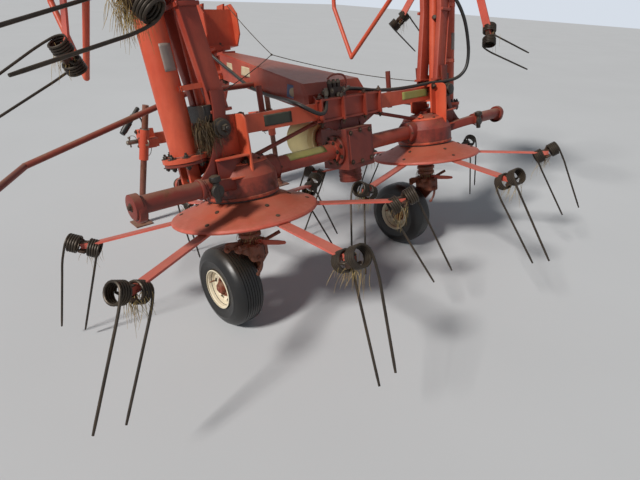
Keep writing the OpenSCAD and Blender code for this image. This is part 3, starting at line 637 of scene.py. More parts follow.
class TEDDER_OT_stage(TedderPiece):
    """Floor, soft lights and the camera at the photograph's viewing angle"""
    bl_idname = "tedder.stage"
    bl_label = "Stage"

    def make(self, context):
        scene = context.scene
        u = np.linspace(-40, 40, 3)
        grid = np.stack([*np.meshgrid(u, u, indexing="ij"), np.zeros((3, 3))], -1)
        tree = new_material("floor", "pale_floor")
        rgb = scene.tedder_colours.floor
        tone = noise(tree, put(tree, "TexCoord", out="Object"), 0.8, 3.0, 0.5)
        colour = mixed(tree, tone, linear(rgb), linear([v * 0.96 for v in rgb]))
        fill(tree, tree.nodes["Principled BSDF"], {"Base Color": colour, "Roughness": 0.9})
        floor = Form().add(grid).build("floor", "floor")
        world = bpy.data.worlds.new("studio")
        scene.world = world
        world.use_nodes = True
        # the sky that lights the machine is dimmer than the pale backdrop that the camera and glossy paint see
        tree = world.node_tree
        seen = {word: put(tree, "LightPath", out="Is %s Ray" % word) for word in ("Camera", "Glossy")}
        pale = put(tree, "MapRange", {0: seen["Camera"].peak(seen["Glossy"] * 0.5), 3: 0.17, 4: 0.9})
        fill(tree, tree.nodes["Background"], {"Strength": pale, "Color": linear((0.88, 0.91, 0.95))})
        warm, cool = (1.0, 0.965, 0.92), (0.93, 0.96, 1.0)
        for name, kind, at, to, power, colour, shape in (
                ("key", "SUN", (-4.3, 0.0, 4.1), (-0.2, 0.1, 0.6), 3.4, warm, {"angle": 0.16}),
                ("fill", "AREA", (-0.5, -4.6, 2.6), (0.2, 0.0, 0.5), 3.0, cool, {"size": 3.5, "shape": "DISK"}),
                ("back", "AREA", (3.2, 3.4, 3.6), (0.0, 0.2, 0.8), 14.0, cool, {"size": 3.5, "shape": "DISK"})):
            lamp = bpy.data.lights.new(name, kind)
            lamp.energy, lamp.color = power, colour
            for key, value in shape.items():
                setattr(lamp, key, value)
            o = bpy.data.objects.new(name, lamp)
            scene.collection.objects.link(o)
            o.matrix_world = Matrix((aim(to, at) @ shift(0, 0, float(np.linalg.norm(np.subtract(at, to))))).tolist())
        camera = bpy.data.cameras.new("camera")
        camera.sensor_width, camera.lens = 36.0, scene.tedder_sizes.camera_lens
        o = bpy.data.objects.new("camera", camera)
        scene.collection.objects.link(o)
        right, up, back = (0.72784, -0.68418, 0.04631), (0.29893, 0.37734, 0.8765), (-0.61716, -0.62411, 0.47916)
        m = np.eye(4)
        m[:3] = np.stack([right, up, back, (-1.6326, -1.71619, 1.4114)], -1)
        o.matrix_world = Matrix(m.tolist())
        scene.camera = o
        scene.view_settings.view_transform = "Standard"


class TEDDER_OT_cad_finish(TedderPiece):
    """Materials of the frame's own nodes"""
    bl_idname = "tedder.cad_finish"
    bl_label = "Frame finish"

    def make(self, context):
        for name, node in NODES.items():
            node.data.materials.clear()
            look = next(key for start, key in CAD_LOOKS if name.startswith(start))
            node.data.materials.append(MATS[look])


def arm_places(side, folded, phase):
    """The frame of each arm's coils: x outwards along the arm, y across it, z along the rotor's axis."""
    base = on_rotor(side, folded)
    return [base @ turn("z", phase + k * 360 / ARMS) @ shift(0.675, 0, -0.064) for k in range(ARMS)]


class TEDDER_OT_tines(TedderPiece):
    """Spring tines: on each arm two helical coils in line with it, tipped up outwards, with long legs and a bridge"""
    bl_idname = "tedder.tines"
    bl_label = "Spring tines"

    def make(self, context):
        s = context.scene.tedder_sizes
        r, wire, turns, pitch = s.coil_radius, s.wire / 2, s.coil_turns + 0.5, s.coil_pitch
        outer = s.coil_spacing / 2 + turns * pitch / 2
        low, high = np.array(CAD_BOX, float)
        # the coil: y = r cos a, z = r sin a, and x steps in by the pitch each turn
        a = np.linspace(0, turns * FULL, int(turns * 18) + 1)
        coil = np.stack([outer - pitch * a / FULL, r * np.cos(a), r * np.sin(a)], -1)
        for name, side, folded, phase in ROTORS:
            form, clamps = Form(), Form()
            rng = np.random.default_rng(len(name) + side)
            for arm in arm_places(side, folded, phase):
                place = arm @ shift(-0.003, 0, 0.003) @ turn("y", -TINE_TILT)
                for way in (-1, 1):
                    bent = rng.normal(0, 1, 2) * (0.006, 0.005)
                    tip = np.array([0.052 + way * bent[0], -0.035 + bent[1], -0.405])
                    # a leg is shortened, by 30% at most, until its tip is inside the CAD box
                    for share in np.linspace(1.0, 0.7, 31):
                        end = moved(place, tip * (way, -side, share))
                        if np.all(end > low + BOX_GAP) and np.all(end < high - BOX_GAP):
                            break
                    tip[2] *= share
                    knee = np.array([outer, r * 0.8, -0.085])
                    leg = curve([tip, tip * 0.6 + knee * 0.4, tip * 0.2 + knee * 0.8, knee, (outer, r * 0.98, -0.04),
                                 (outer, r + 0.0005, -0.01)], 4)[:-1]
                    path = np.concatenate([leg, coil]) * (way, -side, 1)
                    form.add(tube(path, np.where(np.arange(len(path)) == 0, wire * 0.8, wire), 8, ref=(1, 0, 0)), place)
                half = outer - turns * pitch
                bridge = curve([(-half, -r, 0), (-0.012, -0.024, -0.006), (0, -0.016, -0.01),
                                (0.012, -0.024, -0.006), (half, -r, 0)], 4)
                form.add(tube(bridge * (1, -side, 1), wire, 8, ref=(0, 0, 1)), place)
                clamps.add(block(0.028, 0.05, 0.01, 0.004, 0.0015), place @ shift(0, 0, -0.02))
                clamps.add(block(0.026, 0.012, 0.024, 0.003, 0.0015), place @ shift(0, side * 0.018, -0.01))
            piece = form.build("spring_tines_" + name, "wire", "rotor_" + name)
            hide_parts("tines_" + name)
            clamps.build("tine_clamps_" + name, "bolt", "rotor_" + name)


class TEDDER_OT_tyres(TedderPiece):
    """Tyres with grooved treads, bulged walls and beads"""
    bl_idname = "tedder.tyres"
    bl_label = "Tyres"

    def make(self, context):
        s = context.scene.tedder_sizes
        r, h = s.tyre_radius, s.tyre_width / 2
        # half profile of the wall: from the bead inside, over the bulge, to the shoulder
        wall = np.array([(0.083, h - 0.024), (0.089, h - 0.014), (0.095, h - 0.01), (0.104, h - 0.006),
                         (0.118, h - 0.002), (0.134, h - 0.0005), (0.136, h + 0.0006), (0.139, h + 0.0006),
                         (0.141, h - 0.0008), (0.152, h - 0.003), (0.166, h - 0.009), (0.176, h - 0.016),
                         (0.183, h - 0.025)])
        # tread: seven ribs with six grooves between them, on a crowned line
        grooves = np.arange(-2.5, 3) * 0.013
        edges = np.concatenate([[-0.046], np.stack([grooves - 0.0014, grooves + 0.0014], -1).ravel(), [0.046]])
        tread = []
        for i, y in enumerate(edges[1:-1]):
            crown = r - 0.9 * y * y
            low = (crown - 0.006, y + (0.0006 if i % 2 == 0 else -0.0006))
            tread += [(crown, y), low] if i % 2 == 0 else [low, (crown, y)]
        profile = np.concatenate([wall * (1, -1), [(r - 0.003, -0.045)], tread, [(r - 0.003, 0.045)], wall[::-1]])
        for name, side, folded, _ in ROTORS:
            place = on_rotor(side, folded) @ shift(*WHEEL) @ turn("y", 90)
            form = Form().add(spun(np.concatenate([profile, profile[:1]]), 72), place)
            piece = form.build("ribbed_tyre_" + name, "tyre", "wheel_" + name, angle=40)
            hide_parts("tyre_" + name)


class TEDDER_OT_rims(TedderPiece):
    """Cream rims with a slotted dish, hub, cap and wheel bolts"""
    bl_idname = "tedder.rims"
    bl_label = "Rims"

    def make(self, context):
        h = context.scene.tedder_sizes.tyre_width / 2
        barrel = np.array([(0.089, -h + 0.003), (0.0925, -h + 0.0045), (0.0915, -h + 0.009), (0.0865, -h + 0.012),
                           (0.0845, -h + 0.026), (0.076, -0.036), (0.0735, -0.026), (0.0735, 0.012), (0.078, 0.034),
                           (0.0845, h - 0.026), (0.0865, h - 0.012), (0.0915, h - 0.009), (0.0925, h - 0.0045),
                           (0.089, h - 0.003)])
        # the dish is a polar grid whose slots are left out: radius by row, angle by column
        rows = np.array([(0.074, -0.03), (0.0705, -0.039), (0.066, -0.042), (0.0615, -0.04), (0.057, -0.036),
                         (0.0535, -0.032), (0.046, -0.03), (0.03, -0.03)])
        dish = spun(rows, 96)
        row, col = np.meshgrid(np.arange(len(rows) - 1), np.arange(96), indexing="ij")
        slot = (row >= 1) & (row <= 3) & (col % 12 >= 3) & (col % 12 < 9) & ~((col % 12 == 3) & (row == 1))
        hub = [(0, -0.068), (0.011, -0.068), (0.0135, -0.064), (0.022, -0.062), (0.0245, -0.058), (0.0245, -0.037),
               (0.047, -0.036), (0.0475, -0.0315), (0.03, -0.0315), (0.029, -0.012), (0.032, 0.0), (0.032, 0.035),
               (0.027, 0.04), (0.0135, 0.04), (0.0135, -0.046), (0, -0.046)]
        for name, side, folded, _ in ROTORS:
            place = on_rotor(side, folded) @ shift(*WHEEL) @ turn("y", 90)
            sheet = Form().add(spun(barrel, 64), place).add(dish, place).cut(~slot)
            rim = sheet.build("slotted_rim_" + name, "rim", "wheel_" + name, angle=50, solid=0.0028)
            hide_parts("rim_" + name)
            boss = Form().add(spun(hub, 36), place)
            for k in range(5):
                at = place @ turn("z", 20 + 72 * k) @ shift(0.0375, 0, -0.036) @ turn("x", 180)
                bolt(boss, at, 0.013, stud=0.004)
            valve = place @ turn("z", 105) @ shift(0.069, 0, -0.044) @ turn("x", 180)
            boss.spin([(0, 0), (4, 0), (4, 14), (2.8, 15), (2.8, 24), (0, 25)], 12, valve)
            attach(boss.build("wheel_hub_" + name, "paint_leg"), "wheel_" + name)


def wisps(form, rng, middle, spread, number, length=0.07, thin=0.0007, fall=(0, 0, -1), lay=0.45):
    """Hay: each stalk is a thin tapered tube on a curve that starts near a point and bends the way it falls."""
    middle, fall = np.asarray(middle, float), np.asarray(fall, float)
    for start, heading, long in zip(rng.normal(0, 1, (number, 3)) * spread, rng.normal(0, 1, (number, 3)),
                                    rng.uniform(0.4, 1.0, number)):
        heading = heading / np.linalg.norm(heading) * lay + fall * 0.6
        t = np.linspace(0, 1, 5)[:, None]
        path = middle + start + heading * (t * long * length) + fall * (t**2 * long * length * 0.5)
        path += np.sin(t * rng.uniform(2, 5) + rng.uniform(0, 3)) * rng.normal(0, 0.06, 3) * long * length
        form.add(tube(path, thin * np.array([1.0, 1.2, 1.0, 0.8, 0.35]), 3, ends=False))


class TEDDER_OT_hay(TedderPiece):
    """Stalks of hay caught on the coils, clamps and leg collars"""
    bl_idname = "tedder.hay"
    bl_label = "Hay"

    def make(self, context):
        rng = np.random.default_rng(7)
        for name, side, folded, phase in ROTORS:
            form = Form()
            for k, place in enumerate(arm_places(side, folded, phase)):
                much = int(rng.integers(16, 60)) if not (name == "left_outer" and k == 5) else 150
                at = moved(place, (-0.012, rng.choice([-1, 1]) * 0.016, -0.012))
                wisps(form, rng, at, np.array((0.018, 0.018, 0.012)), much, 0.085, 0.0008)
            piece = form.build("hay_on_rotor_" + name, "hay", "rotor_" + name, angle=80)
            form = Form()
            base = on_rotor(side, folded)
            for u in rng.uniform(0, FULL, 90):
                at = moved(base, (0.042 * np.cos(u), 0.042 * np.sin(u), rng.uniform(-0.125, -0.085)))
                wisps(form, rng, at, np.array((0.006, 0.006, 0.008)), 1, 0.055)
            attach(form.build("hay_on_leg_" + name, "hay", angle=80), "leg_" + name)
        # greasy clump that hangs by the left wing's foot
        wing, form = on_wing(-1), Form()
        wisps(form, rng, moved(wing, (0.215, -0.07, 0.075)), np.array((0.022, 0.016, 0.014)), 260, 0.1, 0.0009,
              fall=-wing[:3, 0], lay=0.35)
        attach(form.build("hay_on_wing_left", "hay_dark", angle=80), "wing_left")


class TEDDER_OT_hoses(TedderPiece):
    """Thick hydraulic hoses: from the mast to the valve, and from the valve to the right fold cylinder"""
    bl_idname = "tedder.hoses"
    bl_label = "Hoses"

    def make(self, context):
        wide = context.scene.tedder_sizes.hose
        feed = [(-0.075, 1.02, 0.955), (-0.1, 1.03, 0.925), (-0.15, 1.03, 0.86), (-0.155, 0.985, 0.76),
                (-0.12, 0.88, 0.655), (-0.105, 0.74, 0.56), (-0.118, 0.6, 0.487), (-0.15, 0.4, 0.432),
                (-0.2, 0.22, 0.408), (-0.258, 0.1, 0.399), (-0.299, 0.03, 0.395), (-0.31, -0.02, 0.386),
                (-0.287, -0.063, 0.359), (-0.243, -0.083, 0.333), (-0.196, -0.072, 0.336), (-0.164, -0.05, 0.366),
                (-0.14, -0.03, 0.4), (-0.117, -0.01, 0.425)]
        right = [(-0.015, -0.01, 0.412), (0.02, -0.012, 0.418), (0.1, -0.016, 0.41), (0.2, -0.02, 0.394),
                 (0.36, -0.022, 0.384), (0.52, -0.024, 0.384), (0.65, -0.054, 0.39), (0.74, -0.095, 0.39),
                 (0.8, -0.13, 0.404), (0.838, -0.154, 0.446), (0.852, -0.162, 0.515), (0.842, -0.164, 0.6),
                 (0.812, -0.164, 0.69), (0.772, -0.152, 0.77), (0.736, -0.12, 0.838), (0.724, -0.076, 0.878),
                 (0.73, -0.044, 0.892), (0.744, -0.02, 0.899)]
        for name, route in (("hose_to_valve", feed), ("hose_to_cylinder", right)):
            path = moved(MACHINE, curve(route, 6))
            piece = Form().add(tube(path, wide / 2, 14)).build(name, "hose")
            ends, long = [], 0.05
            for word, (a, b) in zip(("start", "end"), ((path[0], path[2]), (path[-1], path[-3]))):
                ferrule = spun([(wide * 0.5, -0.002), (wide * 0.68, 0), (wide * 0.68, 0.03), (wide * 0.55, 0.034),
                                (wide * 0.52, long), (wide * 0.4, long)], 18)
                rides = {"hose_to_cylinder_end": "barrel_right",
                         "hose_to_valve_start": "headstock"}.get(f"{name}_{word}", "frame")
                ends.append(Form().add(ferrule, aim(a, b)).build(f"{name}_{word}", "steel", rides))
            if name == "hose_to_cylinder":
                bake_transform(piece)
            else:
                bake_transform(piece)
                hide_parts("hydraulic_hoses")


class TEDDER_OT_fastenings(TedderPiece):
    """Bolts, nuts and pins of the frame, the discs and the wings"""
    bl_idname = "tedder.fastenings"
    bl_label = "Fastenings"

    def make(self, context):
        form = Form()
        # clamp bolts on the ribs of the beam's channel: above and below each rib
        for x in (-0.2, -0.06, 0.09, 0.2):
            for z, way in ((0.394, 0), (0.286, 180)):
                at = spot(x, -0.05, z, "x", way)
                bolt(form, at, 0.016, stud=0.008)
        # ring of bolts on the flange of each drive tube
        for side in (-1, 1):
            for k in range(6):
                at = spot(side * 0.119, 0, DRIVE_Z, "x", 30 + 60 * k) @ shift(0, 0, 0.045) @ turn("y", side * 90)
                bolt(form, at, 0.01)
            # hinge pins: heads with their nuts, and the bolt at the bracket's lower corner
            for y, way in ((-0.104, 90), (0.104, -90)):
                at = spot(side * HINGE_X, y, DRIVE_Z, "x", way)
                form.spin([(0, 0), (24, 0), (26, 3), (26, 9), (22, 12), (0, 12)], 24, at)
                bolt(form, at @ shift(0, 0, 0.012), 0.019, stud=0.008, washer=False)
            for x, z in ((0.7, 0.222), (0.636, 0.372)):
                bolt(form, spot(side * x, -0.072, z, "x", 90), 0.018, stud=0.006)
            # end cap screw of the side tube
            bolt(form, spot(side * 1.155, SIDE_TUBE_Y, SIDE_TUBE_Z, "y", side * 90), 0.014)
        form.build("frame_bolts", "bolt", "frame")
        for name, side, folded, phase in ROTORS:
            base = on_rotor(side, folded)
            form, collar = Form(), Form()
            bolt_ring(collar, base, 8, 0.104, 0.206, 0.009, 22.5, 28)
            collar.build("dome_bolts_" + name, "bolt", carrier(side, folded))
            for k in range(ARMS):
                arm = base @ turn("z", phase + 60 * k)
                for r, z, slope in ((0.262, 0.0122, 17.1), (0.19, 0.0408, 25.1)):
                    form.spin([(8.5, 0), (8, 2.2), (5, 3.4), (0, 3.8)], 20, arm @ shift(r, 0, z) @ turn("y", slope))
                # carriage bolt and saddle over the bridge of the tines
                seat = arm @ shift(0.668, 0, -0.046)
                form.add(block(0.04, 0.024, 0.005, 0.006, 0.0015), seat)
                bolt(form, seat @ shift(0.004, 0, 0.0025), 0.014, stud=0.008)
                bolt(form, seat @ shift(0.004, 0, -0.029) @ turn("x", 180), 0.014, stud=0.006)
            form.build("rotor_bolts_" + name, "bolt", "rotor_" + name)
            # rolled rim of the disc: a small circle carried round it
            u = np.linspace(0, FULL, 13)
            bead = Form().add(spun(np.stack([0.2975 + 0.0058 * np.cos(u), 0.0062 * np.sin(u) - 0.0075], -1), 96), base)
            bead.build("disc_bead_" + name, "paint_arm", "rotor_" + name)


class TEDDER_OT_leg_fittings(TedderPiece):
    """Collar, lugs, lever, knob and locking pin of each wheel leg"""
    bl_idname = "tedder.leg_fittings"
    bl_label = "Leg fittings"

    def make(self, context):
        for name, side, folded, _ in ROTORS:
            base = on_rotor(side, folded)
            rusty = Form()
            rusty.spin([(34, -70), (46, -73), (50, -78), (50, -88), (44, -92), (41, -100), (48, -106), (48, -118),
                        (40, -124), (34, -124)], 40, base)
            # the lug to the left, its roller and the lock's bolt
            rusty.add(slab([(0, -0.013), (0.062, -0.017), (0.075, -0.01), (0.075, 0.012), (0.06, 0.018), (0, 0.013)],
                           0.016, 0.003), base @ shift(-0.035, 0.012, -0.15) @ turn("z", 153) @ turn("x", 90))
            rusty.spin([(0, -16), (12, -16), (16.5, -12), (16.5, 10), (12, 14), (0, 14)], 24,
                       base @ shift(-0.064, 0.002, -0.165) @ turn("x", 90))
            bolt(rusty, base @ shift(-0.1, 0.034, -0.158) @ turn("z", -27) @ turn("x", 90), 0.014, stud=0.006)
            rusty.add(block(0.062, 0.07, 0.075, 0.01, 0.006), base @ shift(-0.002, -0.03, -0.182) @ turn("z", -20))
            for z in (-0.155, -0.205):
                bolt(rusty, base @ shift(-0.012, -0.068, z) @ turn("z", -20) @ turn("x", 90), 0.013)
            rod = curve([(0.006, -0.052, -0.205), (0.004, -0.052, -0.232), (-0.002, -0.048, -0.258),
                         (-0.016, -0.04, -0.28)], 5)
            rusty.add(tube(rod, 0.0065, 10), base)
            rusty.spin([(0, -8), (7, -6), (9, 0), (7, 6), (0, 8)], 14, base @ shift(-0.016, -0.04, -0.282))
            rusty.build("leg_fittings_" + name, "paint_leg", "leg_" + name)
            lever = Form()
            outline = [(-0.01, -0.012), (0.09, -0.01), (0.118, -0.006), (0.122, 0), (0.118, 0.007), (0.09, 0.01),
                       (-0.01, 0.012)]
            place = base @ shift(0.004, -0.042, -0.142) @ turn("z", -42) @ turn("y", 8) @ turn("x", 90)
            lever.add(slab(outline, 0.007, 0.002), place)
            bolt(lever, base @ shift(0.01, -0.053, -0.142) @ turn("z", -42) @ turn("x", 90), 0.014)
            lever.build("leg_lever_" + name, "paint_arm", "leg_" + name)


def patch(middle, across, up, w, h, bend, seed):
    """A blank sticker: a frayed rectangle on a plane, or rolled about its long side onto a tube of radius bend."""
    lift, fray, cells = 0.0006, 0.0012, (9, 7)
    rng = np.random.default_rng(seed)
    a, b = np.array(across, float), np.array(up, float)
    a /= np.linalg.norm(a)
    b -= a * (a @ b)
    b /= np.linalg.norm(b)
    n = np.cross(a, b)
    u, v = np.meshgrid(*(np.linspace(-size / 2, size / 2, cell) for size, cell in zip((w, h), cells)), indexing="ij")
    edge = (np.abs(u) > w / 2 - 1e-9) | (np.abs(v) > h / 2 - 1e-9)
    u, v = ((q - edge * np.sign(q) * rng.uniform(0, fray, q.shape))[..., None] for q in (u, v))
    rise = (bend + lift) * (np.sin(v / bend) * b + np.cos(v / bend) * n) if bend else v * b + lift * n
    return np.asarray(middle, float) + u * a + rise


class TEDDER_OT_stickers(TedderPiece):
    """Blank stickers and plates where the machine carries them"""
    bl_idname = "tedder.stickers"
    bl_label = "Stickers"

    def make(self, context):
        x, z = (1, 0, 0), (0, 0, 1)
        # the arm's sides draw in by this share of the way forward
        k = 0.16237
        flat = [("black", (-0.431, BEAM_BACK, 0.339), x, z, 0.146, 0.047, 0.0),
                ("olive", (0.523, BEAM_BACK, 0.343), x, z, 0.236, 0.041, 0.0),
                ("olive", (-0.287, 0.0, DRIVE_Z), x, (0, 1, 0.55), 0.225, 0.058, 0.038),
                ("blue", (-0.1752, 0.158, 0.432), (k, -1, -0.3), (0, -0.3, 1), 0.074, 0.062, 0.0),
                ("cream", (-0.1052, 0.59, 0.553), (k, -1, -0.3), (0, -0.3, 1), 0.125, 0.05, 0.0),
                ("cream", (-0.0702, 0.806, 0.6), (k, -1, -0.3), (0, -0.3, 1), 0.085, 0.042, 0.0),
                ("grey", (0.0, -0.0852, 0.16), x, z, 0.11, 0.125, 0.0)]
        for i, (tone, at, across, up, w, h, bend) in enumerate(flat):
            grid = patch(at, across, up, w, h, bend, i + 2)
            piece = Form().add(grid, MACHINE).build("sticker_%s_%d" % (tone, i), "plate_" + tone, "frame", solid=0.0004)
        disc_at = aim((-0.1758, 0.158, 0.432), (-0.1758 - 1.0, 0.158 - k, 0.432))
        ring = Form().spin([(0, 1.2), (19, 1.2), (21, 0.6)], 32, MACHINE @ disc_at)
        ring.build("sticker_round", "plate_cream", "frame")
        for side in (-1, 1):
            grid = patch((0.455, 0.0, 0.0), x, (0, -side * 0.2, 1), 0.09, 0.05, 0.051, 9)
            piece = Form().add(grid, on_wing(side)).build("sticker_wing_%d" % side, "plate_grey",
                                                          carrier(side, True), solid=0.0004)


def weld(a, b, r, seed):
    """A weld bead: a tube whose radius ripples, r (1 + 0.18 sin), along a slightly uneven line."""
    a, b = np.asarray(a, float), np.asarray(b, float)
    count = max(5, int(np.linalg.norm(b - a) / 0.004))
    t = np.linspace(0, 1, count)[:, None]
    path = a + (b - a) * t + np.random.default_rng(seed).normal(0, r * 0.1, (count, 3))
    return tube(path, r * (1 + 0.18 * np.sin(np.arange(count) * 1.9)), 6, ref=np.cross(b - a, (0.3, 0.5, 0.8)))


def ring_weld(place, r):
    """A weld round a tube: a small circle carried round a big one, its radius rippled."""
    u, v = np.linspace(0, FULL, 73), np.linspace(0, FULL, 7)[:, None]
    q = WELD * (1 + 0.18 * np.sin(11 * u))
    return moved(place, np.stack([(r + q * np.cos(v)) * np.cos(u), (r + q * np.cos(v)) * np.sin(u), q * np.sin(v)], -1))


class TEDDER_OT_welds(TedderPiece):
    """Weld beads along the seams of the beam, the arm, the brackets and the wings"""
    bl_idname = "tedder.welds"
    bl_label = "Welds"

    def make(self, context):
        form = Form()
        for z in (0.289, 0.389):
            form.add(weld((-0.213, BEAM_BACK, z), (0.213, BEAM_BACK, z), 0.003, 5), MACHINE)
        for side in (-1, 1):
            # foot of the arm on the beam, and its long lower edges
            form.add(weld((side * 0.166, 0.006, 0.3725), (side * 0.166, 0.034, 0.3725), WELD, 8), MACHINE)
            for z in (0.303, 0.371):
                form.add(weld((side * 0.6175, BEAM_BACK, z), (side * 0.69, BEAM_BACK, z), 0.003, 11), MACHINE)
            # plates of the bracket: box seat and saddle
            for y in (-0.0625, 0.0625):
                form.add(weld((side * 0.6905, y, 0.222), (side * 0.7495, y, 0.222), 0.003, 13), MACHINE)
            form.add(ring_weld(spot(side * 0.1195, 0, DRIVE_Z, "y", 90), 0.0385))
            form.add(ring_weld(spot(side * 0.905, SIDE_TUBE_Y, 0.15, "y", 90) @ shift(0, 0, 0.0072), 0.0305))
            form.add(ring_weld(spot(side * 0.904, SIDE_TUBE_Y, SIDE_TUBE_Z, "y", 90), 0.0305))
        form.build("frame_welds", "paint_shade", "frame", angle=80)
        for side, word in SIDES:
            wing, form = on_wing(side), Form()
            for x in (0.1025, 0.1215):
                form.add(ring_weld(wing @ shift(x, 0, 0) @ turn("y", 90), 0.0515))
            for way in (-1, 1):
                for x in (0.6035, 0.6165):
                    form.add(weld((x, way * 0.0705, 0.078), (x, way * 0.0705, 0.148), 0.003, 21), wing)
                form.add(weld((0.262, way * 0.0705, 0.115), (0.262, way * 0.0705, 0.182), 0.003, 23), wing)
            for x in (0.35, 0.64, 0.87):
                for y in (-RAIL_Y, RAIL_Y):
                    form.add(weld((x - 0.009, y * 1.2, 0.012), (x + 0.009, y * 1.2, 0.012), 0.003, 25), wing)
            form.build("wing_welds_" + word, "paint_shade", "wing_" + word, angle=80)


class TEDDER_OT_wing_rails(TedderPiece):
    """Each wing's pair of box rails with their bend, yoke, end plates and the slim straps to the fold pins"""
    bl_idname = "tedder.wing_rails"
    bl_label = "Wing rails"

    def make(self, context):
        for side, word in SIDES:
            wing, form, grease, dirt = on_wing(side), Form(), Form(), Form()
            for way in (-1, 1):
                y = way * RAIL_Y
                form.add(beam([(0.25, y, 0.15), (0.6, y, 0.113), (0.62, y, 0.1124), (1.07, y, 0.13)], (0, 1, 0),
                              0.03, 0.076, 0.005), wing)
                # folded lip on the rail's lower outer edge, which catches the light
                form.add(beam([(0.262, way * 0.0715, 0.1145), (0.61, way * 0.0715, 0.0775),
                               (1.06, way * 0.0715, 0.0955)], (0, 1, 0), 0.007, 0.005, 0.001), wing)
                form.add(block(0.012, 0.044, 0.092, 0.003), wing @ shift(0.2535, y, 0.15))
                # strap from the fold pin up to the rail's foot: its middle line bows, and its head is round
                line = curve([(0, 0, 0), (0.062, 0, 0.055), (0.125, 0, 0.092), (0.2, 0, 0.12), (0.262, 0, 0.136),
                              (0.325, 0, 0.142)], 4)
                line = np.concatenate([[(-0.0185, 0, -0.02), (-0.012, 0, -0.013)], line]) + (0, way * STRAP_Y, 0)
                tall = np.interp(np.linspace(0, 1, len(line)), [0, 0.05, 0.12, 0.3, 0.5, 0.72, 1],
                                 [0.026, 0.048, 0.054, 0.036, 0.038, 0.05, 0.056])
                grease.add(beam(line, (0, 1, 0), 0.01, tall, 0.002), wing)
                form.spin([(16, -6), (30, -6), (31.5, -4.5), (31.5, 4.5), (30, 6), (16, 6)], 40,
                          wing @ shift(0, way * STRAP_Y, 0) @ turn("x", 90))
                # boss on the strap beside the cylinder's foot, with its greasy pin and nut
                boss = wing @ shift(0.194, way * 0.088, 0.12) @ turn("x", -90 * way)
                dirt.spin([(0, -2), (36, -2), (37.5, 2), (36, 16), (30, 19), (29, 30), (24, 33), (0, 33)], 36, boss)
                # the right wing's rear boss has no nut, because the hose lies there when the wing is down
                if side < 0 or way > 0:
                    bolt(dirt, boss @ shift(0, 0, 0.032), 0.026, stud=0.008, washer=False)
                form.spin(drum(17, 20, 44), 28, wing @ shift(0.96, 0, 0.118) @ turn("x", 90 * way))
                # side of the yoke at the rails' bend
                form.add(block(0.014, 0.013, 0.088, 0.003), wing @ shift(YOKE_X, way * 0.0765, 0.112))
            form.add(block(0.014, 0.166, 0.012, 0.003), wing @ shift(YOKE_X, 0, 0.074))
            dirt.add(block(0.06, 0.15, 0.01, 0.004), wing @ shift(0.252, 0, 0.082))
            for way in (-1, 1):
                dirt.add(block(0.06, 0.01, 0.036, 0.003), wing @ shift(0.252, way * 0.07, 0.098))
            # second plate of the tube's foot flange, with a ring of bolts
            flange = wing @ shift(0.1, 0, 0) @ turn("y", 90)
            grease.spin([(30, -10), (78, -10), (80, -8), (80, 1.5), (78, 3.2), (30, 3.2)], 48, flange)
            for k in range(8):
                bolt(dirt, flange @ turn("z", 22.5 + 45 * k) @ shift(0.07, 0, 0.02), 0.015, stud=0.007)
                bolt(dirt, flange @ turn("z", 22.5 + 45 * k) @ shift(0.07, 0, -0.01) @ turn("x", 180), 0.015,
                     stud=0.004)
            # the rails take the darker beam paint, which is painted shade
            piece = form.build("wing_rail_pair_" + word, "paint_beam_painted_shade", "wing_" + word)
            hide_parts("wing_rails_" + word)
            dirt.build("wing_foot_boss_" + word, "grease", "wing_" + word)
            # the straps and the flange's second plate take the darker red paint: partly painted shade, partly grease
            grease.build("wing_straps_" + word, "paint_shade", "wing_" + word)


class TEDDER_OT_side_tubes(TedderPiece):
    """Side tubes with dished caps, the lugs that carry them and their ring-headed pins"""
    bl_idname = "tedder.side_tubes"
    bl_label = "Side tubes"

    def make(self, context):
        form, dark = Form(), Form()
        for side in (-1, 1):
            axis = spot(side * 0.86, SIDE_TUBE_Y, SIDE_TUBE_Z, "y", side * 90)
            form.spin([(0, 0), (28.5, 0), (30, 1.5), (30, 268), (39.5, 268), (41, 270), (41, 294.5), (39, 295.5),
                       (0, 295.5)], 44, axis)
            form.spin([(30, 48), (35, 48.5), (36, 50), (36, 60), (35, 61.5), (30, 62)], 40, axis)
            # lug from the tube's inner end back to the drum, and its lower web
            lug = [(side * 0.88, -0.176, 0.16), (side * 0.835, -0.155, 0.154), (side * 0.785, -0.118, 0.144),
                   (side * 0.74, -0.09, 0.134)]
            tall = [0.05, 0.05, 0.048, 0.046, 0.046, 0.048, 0.05, 0.052, 0.054, 0.056]
            form.add(beam(curve(lug, 3), (0, 0, 1), 0.046, tall, 0.008), MACHINE)
            # pin with its ring head, hung at the tube's end
            pin = spot(side * 0.87, -0.212, 0.15)
            dark.spin([(0, -40), (10, -40), (12, -37), (12, 28), (19, 32), (21, 40), (19, 50), (10, 55), (0, 56)],
                      26, pin)
            dark.spin([(0, -7), (20, -7), (25, -3), (25, 3), (20, 7), (0, 7)], 32,
                      pin @ shift(0, -0.004, -0.002) @ turn("x", 90))
        # the side tubes take the darker red paint: painted shade
        piece = form.build("side_tube_pair", "paint_shade", "frame")
        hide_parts("side_tubes")
        dark.build("side_tube_pins", "grease", "frame")


